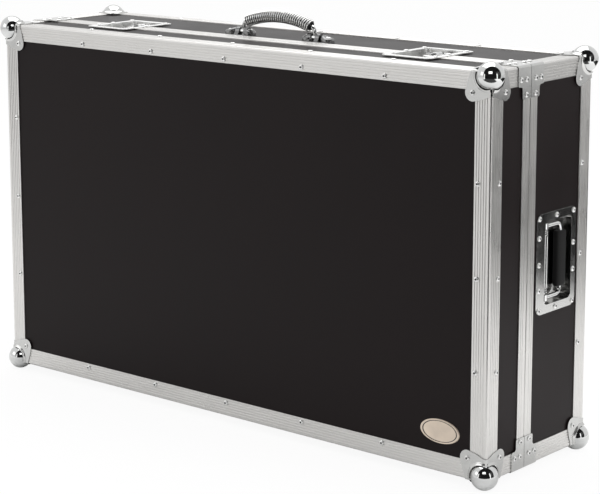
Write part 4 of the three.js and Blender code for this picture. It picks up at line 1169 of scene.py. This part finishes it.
def make_foam():
    edge = WALL + FOAM_GAP
    x, low, high, back = HALF_LENGTH - edge, BOTTOM + edge, TOP - edge, BACK - edge
    pockets = [block(middle - POCKET_HALF, middle + POCKET_HALF, SPLIT - 5, SPLIT + LATCH_BASE_OPENING + 1.5,
                     TOP - 14.5, TOP + 5) for middle in (-LATCH_X, LATCH_X)]
    pocket = side_opening(1.5, DISH_X - 17.5, HALF_LENGTH + 5)
    pockets += [pocket, pocket.scaled(-1, 1, 1)]
    thick, inner = FOAM_THICK, FOAM_THICK + FOAM_GAP
    walls = worked("foam_walls", block(-x, x, SPLIT + CLOSING_LIP + FOAM_GAP, back, low, high), (),
                   [block(thick - x, x - thick, SPLIT, BACK, low + thick, high - thick), *pockets],
                   edge=1.2, steps=3)
    bed = block(inner - x, x - inner, BACK - WALL - FOAM_BED, back, low + inner, high - inner)
    pad = block(1.5 - x, x - 1.5, FRONT + edge, FRONT + WALL + FOAM_BED, low + 1.5, high - 1.5)
    bed, pad = (worked("foam_slab", slab, edge=2.5, steps=4) for slab in (bed, pad))
    for name, shape, body, node in (("foam_lining", walls, "base", "base_foam_walls"),
                                    ("foam_bed", bed, "base", "base_foam_floor"),
                                    ("foam_cover_pad", pad, "lid", "lid_foam_pad")):
        piece(name, shape, ("foam",), body, node)


# Badge, left bare

# The number of the finish, and shares of the oval with heights, of the face, the thin line and the rim
BADGE_RINGS = (
    (0, [(0, 1.5), (0.83, 1.5)]),
    (1, [(0.83, 1.5), (0.84, 1.35), (0.875, 1.35), (0.885, 1.6)]),
    (0, [(0.885, 1.6), (0.91, 2), (0.95, 2.2), (0.975, 2.05), (0.99, 1.5), (1, 0.9), (1, 0), (0, 0)]),
)
BADGE_X, BADGE_Z = HALF_LENGTH - 87, BOTTOM + 65
BADGE_HALF_WIDTH, BADGE_HALF_HEIGHT = 37, 19.25


def make_badge():
    shape = joined([lathe(profile[::-1], 64).finished(number) for number, profile in BADGE_RINGS])
    points = [(BADGE_X + x * BADGE_HALF_WIDTH, FRONT + SKIN - height, BADGE_Z + z * BADGE_HALF_HEIGHT)
              for x, z, height in shape.points]
    piece("maker_plate_blank", Shape(points, shape.faces, shape.finishes), ("badge_face", "badge_line"),
          "lid", "badge_plate", crease=50)


# Studio: the camera's and the lamps' places are in metres, the cards' in millimetres

CAMERA_PLACE = (2.1596, -2.5418, 1.0299)
CAMERA_YAW, CAMERA_PITCH, CAMERA_ROLL = -41.4648, 10.0347, -0.3443
CAMERA_FOCUS = 1985.15
IMAGE_WIDTH = 600
DOME_RADIUS, DOME_SPREAD, DOME_TURN = 2900, 64, 9
SENSOR = 36
CAMERA_SHIFT = 0.1, -0.15
LAMP_AIM = (0, 0, 0.3)
WHITE = (1, 1, 1, 1)


def make_camera():
    yaw, pitch, roll = (math.radians(a) for a in (CAMERA_YAW, CAMERA_PITCH, CAMERA_ROLL))
    ahead = Vector((math.sin(yaw) * math.cos(pitch), math.cos(yaw) * math.cos(pitch), -math.sin(pitch)))
    level = Vector((math.cos(yaw), -math.sin(yaw), 0))
    up = level.cross(ahead)
    across = level * math.cos(roll) + up * math.sin(roll)
    over = up * math.cos(roll) - level * math.sin(roll)
    data = bpy.data.cameras.new("Camera")
    data.sensor_width = SENSOR
    data.lens = CAMERA_FOCUS / IMAGE_WIDTH * SENSOR
    data.shift_x, data.shift_y = CAMERA_SHIFT
    data.clip_start, data.clip_end = 0.1, 200
    camera = linked("Camera", data)
    turn = Matrix((across, over, -ahead)).transposed().to_4x4()
    camera.matrix_world = Matrix.Translation(CAMERA_PLACE) @ turn
    bpy.context.scene.camera = camera


def make_lamp(name, place, width, height, power):
    """A softbox turned to the case."""
    data = bpy.data.lights.new(name, "AREA")
    data.shape, data.size, data.size_y, data.energy = "RECTANGLE", width, height, power
    way = Vector(LAMP_AIM) - Vector(place)
    turn = way.to_track_quat("-Z", "Y").to_matrix().to_4x4()
    linked(name, data).matrix_world = Matrix.Translation(place) @ turn


def make_card(name, shape, grey, glow=0.0):
    """A card of the studio that only shiny surfaces see."""
    material = new_finish(name, {
        "Roughness": 1, "Base Color": (grey, grey, grey, 1), "Specular IOR Level": 0,
        "Emission Strength": glow, "Emission Color": WHITE})[0]
    mesh = mesh_of(name, shape)
    mesh.materials.append(material)
    card = linked(name, mesh)
    card.visible_camera = card.visible_diffuse = card.visible_shadow = card.visible_transmission = False


def facing_card(width, height, place, aim):
    """A flat card of this size at a place, turned to what it is aimed at."""
    w, h = width / 2, height / 2
    way = (Vector(aim) - Vector(place)).to_track_quat("Z", "Y").to_matrix()
    return flat_card((-w, -h), (w, -h), (w, h), (-w, h), z=0).turned(way).moved(*place)


def flat_card(*corners, z=2):
    """A level card, a little above the floor so that the two don't meet."""
    return Shape([(x, y, z) for x, y in corners], [(0, 1, 2, 3)])


def room_dome():
    """The dark side of the room behind the camera: part of a hollow ball."""
    way = Vector((CAMERA_PLACE[0], CAMERA_PLACE[1], 1.0)).normalized()
    way = Matrix.Rotation(math.radians(DOME_TURN), 3, "Z") @ way
    profile = [(DOME_RADIUS * b, DOME_RADIUS * a) for a, b in arc(0, 0, 1, 0, math.radians(DOME_SPREAD), 12)]
    return lathe(profile, 48).turned(way.to_track_quat("Z", "Y").to_matrix()).moved(0, 0, 400)


def seen_directly(nodes):
    """1 for rays that show the background: the camera's, and those off metal or through glass."""
    camera, glossy, through = (nodes.add("ShaderNodeLightPath", out=f"Is {kind} Ray")
                               for kind in ("Camera", "Glossy", "Transmission"))
    return nodes.sum("MAXIMUM", nodes.sum("MAXIMUM", camera, glossy), through)


def make_world(studio):
    """White where it is seen directly, and a softer light for everything else."""
    world = bpy.data.worlds.new("Studio")
    bpy.context.scene.world = world
    world.use_nodes = True
    world.node_tree.nodes.clear()
    nodes = Nodes(world.node_tree)
    soft, white = (nodes.add("ShaderNodeBackground", None, {"Color": WHITE, "Strength": strength})
                   for strength in (studio.room, 1))
    nodes.add("ShaderNodeOutputWorld", None, {"Surface": nodes.blended(seen_directly(nodes), soft, white)})


def make_floor(studio):
    """A pale floor that takes shadows and is made whiter for the camera."""
    mesh = bpy.data.meshes.new("floor")
    mesh.from_pydata([(-40, -40, 0), (40, -40, 0), (40, 40, 0), (-40, 40, 0)], [], [(0, 1, 2, 3)])
    material, nodes, shader = new_finish("Pale floor", {"Roughness": 0.9, "Base Color": (0.9, 0.9, 0.9, 1)})
    glow = nodes.add("ShaderNodeEmission", None, {"Strength": 1})
    share = nodes.add("ShaderNodeLightPath", out="Is Camera Ray") * studio.floor_glow
    mix = nodes.blended(share, Value(nodes, shader.outputs[0]), glow)
    end = next(node for node in nodes.tree.nodes if node.type == "OUTPUT_MATERIAL")
    nodes.tree.links.new(mix.socket, end.inputs["Surface"])
    mesh.materials.append(material)
    linked("floor", mesh)


def make_stage(studio):
    bpy.context.scene.view_settings.view_transform = "Standard"
    make_world(studio)
    make_floor(studio)
    make_lamp("overhead softbox", (-0.6, 0.6, 3.2), 3.0, 3.0, studio.overhead)
    make_lamp("front softbox", (-2.6, -3.2, 1.9), 2.2, 1.6, studio.front)
    make_lamp("side softbox", (3.4, 0.4, 1.5), 1.6, 1.6, studio.side)
    make_card("dark room", room_dome(), 0.012)
    make_card("window", facing_card(1150, 800, (1450, -1750, 1950), (300, -100, 500)), 0.8, studio.window)
    make_card("dark floor behind", flat_card((880, 1080), (2600, 700), (3400, 3400), (500, 3400)), 0.02)
    dark = flat_card((-350, -1550), (1450, -150), (3300, -1900), (500, -3600))
    make_card("dark floor in front", dark, 0.06)
    for name, place in (("left light strip", (-250, -2450, 700)), ("right light strip", (2450, -300, 700))):
        make_card(name, facing_card(260, 1500, place, (300, -100, 700)), 0.8, studio.strips)
    make_camera()


# Settings

def distance(name, description, default, low, high):
    return bpy.props.FloatProperty(
        name=name, description=description, default=default, min=low, max=high,
        subtype="DISTANCE", unit="LENGTH")


def tint(name, description, default):
    return bpy.props.FloatVectorProperty(
        name=name, description=description, default=default, size=3, min=0, max=1, subtype="COLOR")


def amount(name, description, default, high, **kind):
    return bpy.props.FloatProperty(
        name=name, description=description, default=default, min=0, max=high, **kind)


class FlightCaseSizes(bpy.types.PropertyGroup):
    rivet_radius: distance("Rivet radius", "Radius of a rivet's head", 0.0045, 0.002, 0.008)
    rivet_height: distance("Rivet height", "How far a rivet's head stands up", 0.0022, 0.0005, 0.004)
    rib_width: distance("Rib groove width", "Width of the grooves along the aluminium", 0.0018, 0.0004, 0.003)
    rib_depth: distance("Rib groove depth", "Depth of those grooves", 0.0005, 0.00005, 0.0008)
    coil_radius: distance("Coil radius", "From the handle's middle line to its wire's", 0.0096, 0.007, 0.012)
    coil_wire: distance("Coil wire radius", "Radius of the wire round the handle", 0.0013, 0.0006, 0.0025)
    coil_curls: bpy.props.IntProperty(
        name="Coil curls", description="How often the wire goes round the handle", default=31, min=10, max=60)


class FlightCaseLook(bpy.types.PropertyGroup):
    laminate: tint("Laminate", "Colour of the panels", (0.0062, 0.0036, 0.0037))
    aluminium: tint("Aluminium", "Colour of the edge angles and closing profiles", (0.632, 0.622, 0.606))
    zinc: tint("Bright zinc", "Colour of the corners, braces and dishes", (0.545, 0.545, 0.535))
    rivet: tint("Rivets", "Colour of the rivets' heads", (0.78, 0.78, 0.77))
    steel: tint("Chromed steel", "Colour of the handles", (0.68, 0.685, 0.68))
    ball: tint("Nickel balls", "Colour of the ball corners' balls", (0.6, 0.605, 0.6))
    bracket: tint("Pressed parts", "Colour of the handle's brackets and the latches' discs", (0.2, 0.2, 0.2))
    bright: tint("Bright plate", "Colour of the coil and the latches' dishes", (0.93, 0.93, 0.92))
    rubber: tint("Rubber", "Colour of the side handles' sleeves", (0.006, 0.006, 0.006))
    foam: tint("Foam", "Colour of the lining", (0.028, 0.029, 0.031))
    badge: tint("Badge", "Colour of the blank plate's face", (0.66, 0.56, 0.46))
    wear: amount("Wear", "How strongly small marks show", 1, 2, subtype="FACTOR")


class FlightCaseStudio(bpy.types.PropertyGroup):
    room: amount("Room light", "Strength of the light from all round", 0.9, 2)
    overhead: amount("Overhead", "Power of the softbox above", 60, 500, unit="POWER")
    front: amount("Front", "Power of the softbox at the front left", 11, 500, unit="POWER")
    side: amount("Side", "Power of the softbox at the right end", 48, 500, unit="POWER")
    window: amount("Window", "Brightness of the window that the balls mirror", 1.6, 10)
    strips: amount("Light strips", "Brightness of the upright strips that the balls mirror", 0.9, 10)
    floor_glow: amount("Floor glow", "How white the floor is made for the camera", 0.92, 1, subtype="FACTOR")


# Operators

class FLIGHTCASE_OT_finishes(bpy.types.Operator):
    """Makes the materials"""
    bl_idname = "flightcase.finishes"
    bl_label = "Finishes"

    def execute(self, context):
        make_finishes(context.scene.flight_case_look)
        return {"FINISHED"}


class FLIGHTCASE_OT_panels(bpy.types.Operator):
    """Gives the laminated panels their finish"""
    bl_idname = "flightcase.panels"
    bl_label = "Panels"

    def execute(self, context):
        for name in ("lid_front_panel", "lid_wall_panels", "base_back_panel", "base_wall_panels"):
            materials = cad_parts[name].data.materials
            materials.clear()
            materials.append(FINISHES["laminate"])
        return {"FINISHED"}


class FLIGHTCASE_OT_edge_angles(bpy.types.Operator):
    """Builds the ribbed aluminium angles round both halves"""
    bl_idname = "flightcase.edge_angles"
    bl_label = "Edge angles"

    def execute(self, context):
        make_edge_angles(context.scene.flight_case_sizes)
        return {"FINISHED"}


class FLIGHTCASE_OT_closing_profiles(bpy.types.Operator):
    """Builds the profiles that meet along the closing line"""
    bl_idname = "flightcase.closing_profiles"
    bl_label = "Closing profiles"

    def execute(self, context):
        make_closing_profiles(context.scene.flight_case_sizes)
        return {"FINISHED"}


class FLIGHTCASE_OT_ball_corners(bpy.types.Operator):
    """Builds the eight ball corners"""
    bl_idname = "flightcase.ball_corners"
    bl_label = "Ball corners"

    def execute(self, context):
        make_ball_corners()
        return {"FINISHED"}


class FLIGHTCASE_OT_corner_braces(bpy.types.Operator):
    """Builds the braces over the ends of the closing line"""
    bl_idname = "flightcase.corner_braces"
    bl_label = "Corner braces"

    def execute(self, context):
        make_corner_braces()
        return {"FINISHED"}


class FLIGHTCASE_OT_latches(bpy.types.Operator):
    """Builds the two recessed butterfly latches"""
    bl_idname = "flightcase.latches"
    bl_label = "Latches"

    def execute(self, context):
        make_latches()
        return {"FINISHED"}


class FLIGHTCASE_OT_top_handle(bpy.types.Operator):
    """Builds the sprung carrying handle"""
    bl_idname = "flightcase.top_handle"
    bl_label = "Top handle"

    def execute(self, context):
        make_top_handle(context.scene.flight_case_sizes)
        return {"FINISHED"}


class FLIGHTCASE_OT_side_handles(bpy.types.Operator):
    """Builds the two recessed side handles"""
    bl_idname = "flightcase.side_handles"
    bl_label = "Side handles"

    def execute(self, context):
        make_side_handles()
        return {"FINISHED"}


class FLIGHTCASE_OT_hinges(bpy.types.Operator):
    """Builds the two hinges under the closing line"""
    bl_idname = "flightcase.hinges"
    bl_label = "Hinges"

    def execute(self, context):
        make_hinges()
        return {"FINISHED"}


class FLIGHTCASE_OT_foam(bpy.types.Operator):
    """Builds the foam lining of both halves"""
    bl_idname = "flightcase.foam"
    bl_label = "Foam lining"

    def execute(self, context):
        make_foam()
        return {"FINISHED"}


class FLIGHTCASE_OT_badge(bpy.types.Operator):
    """Builds the blank oval plate on the lid"""
    bl_idname = "flightcase.badge"
    bl_label = "Blank plate"

    def execute(self, context):
        make_badge()
        return {"FINISHED"}


class FLIGHTCASE_OT_rivets(bpy.types.Operator):
    """Sets all rivet heads that the other pieces asked for"""
    bl_idname = "flightcase.rivets"
    bl_label = "Rivets"

    def execute(self, context):
        make_rivets(context.scene.flight_case_sizes)
        return {"FINISHED"}


class FLIGHTCASE_OT_stage(bpy.types.Operator):
    """Sets up the floor, the lights and the camera"""
    bl_idname = "flightcase.stage"
    bl_label = "Studio"

    def execute(self, context):
        make_stage(context.scene.flight_case_studio)
        return {"FINISHED"}


OPERATORS = (
    FLIGHTCASE_OT_finishes, FLIGHTCASE_OT_panels, FLIGHTCASE_OT_edge_angles, FLIGHTCASE_OT_closing_profiles,
    FLIGHTCASE_OT_ball_corners, FLIGHTCASE_OT_corner_braces, FLIGHTCASE_OT_latches, FLIGHTCASE_OT_top_handle,
    FLIGHTCASE_OT_side_handles, FLIGHTCASE_OT_hinges, FLIGHTCASE_OT_foam, FLIGHTCASE_OT_badge,
    FLIGHTCASE_OT_rivets, FLIGHTCASE_OT_stage,
)
SETTINGS = {
    "flight_case_sizes": FlightCaseSizes,
    "flight_case_look": FlightCaseLook,
    "flight_case_studio": FlightCaseStudio,
}


class FLIGHTCASE_PT_panel(bpy.types.Panel):
    bl_label = "Flight case"
    bl_idname = "FLIGHTCASE_PT_panel"
    bl_space_type = "VIEW_3D"
    bl_region_type = "UI"
    bl_category = "Flight Case"

    def draw(self, context):
        for group, kind in SETTINGS.items():
            box = self.layout.box()
            for name in kind.__annotations__:
                box.prop(getattr(context.scene, group), name)
        for operator in OPERATORS:
            self.layout.operator(operator.bl_idname)


def register():
    for kind in (*SETTINGS.values(), *OPERATORS, FLIGHTCASE_PT_panel):
        bpy.utils.register_class(kind)
    for name, kind in SETTINGS.items():
        setattr(bpy.types.Scene, name, bpy.props.PointerProperty(type=kind))


def unregister():
    for name in SETTINGS:
        delattr(bpy.types.Scene, name)
    for kind in (FLIGHTCASE_PT_panel, *reversed(OPERATORS), *SETTINGS.values()):
        bpy.utils.unregister_class(kind)


def write_sizes():
    """Brings the view layer up to date."""
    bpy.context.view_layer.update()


def main():
    register()
    for operator in OPERATORS:
        group, name = operator.bl_idname.split(".")
        getattr(getattr(bpy.ops, group), name)()
    write_sizes()


if __name__ == "__main__":
    main()
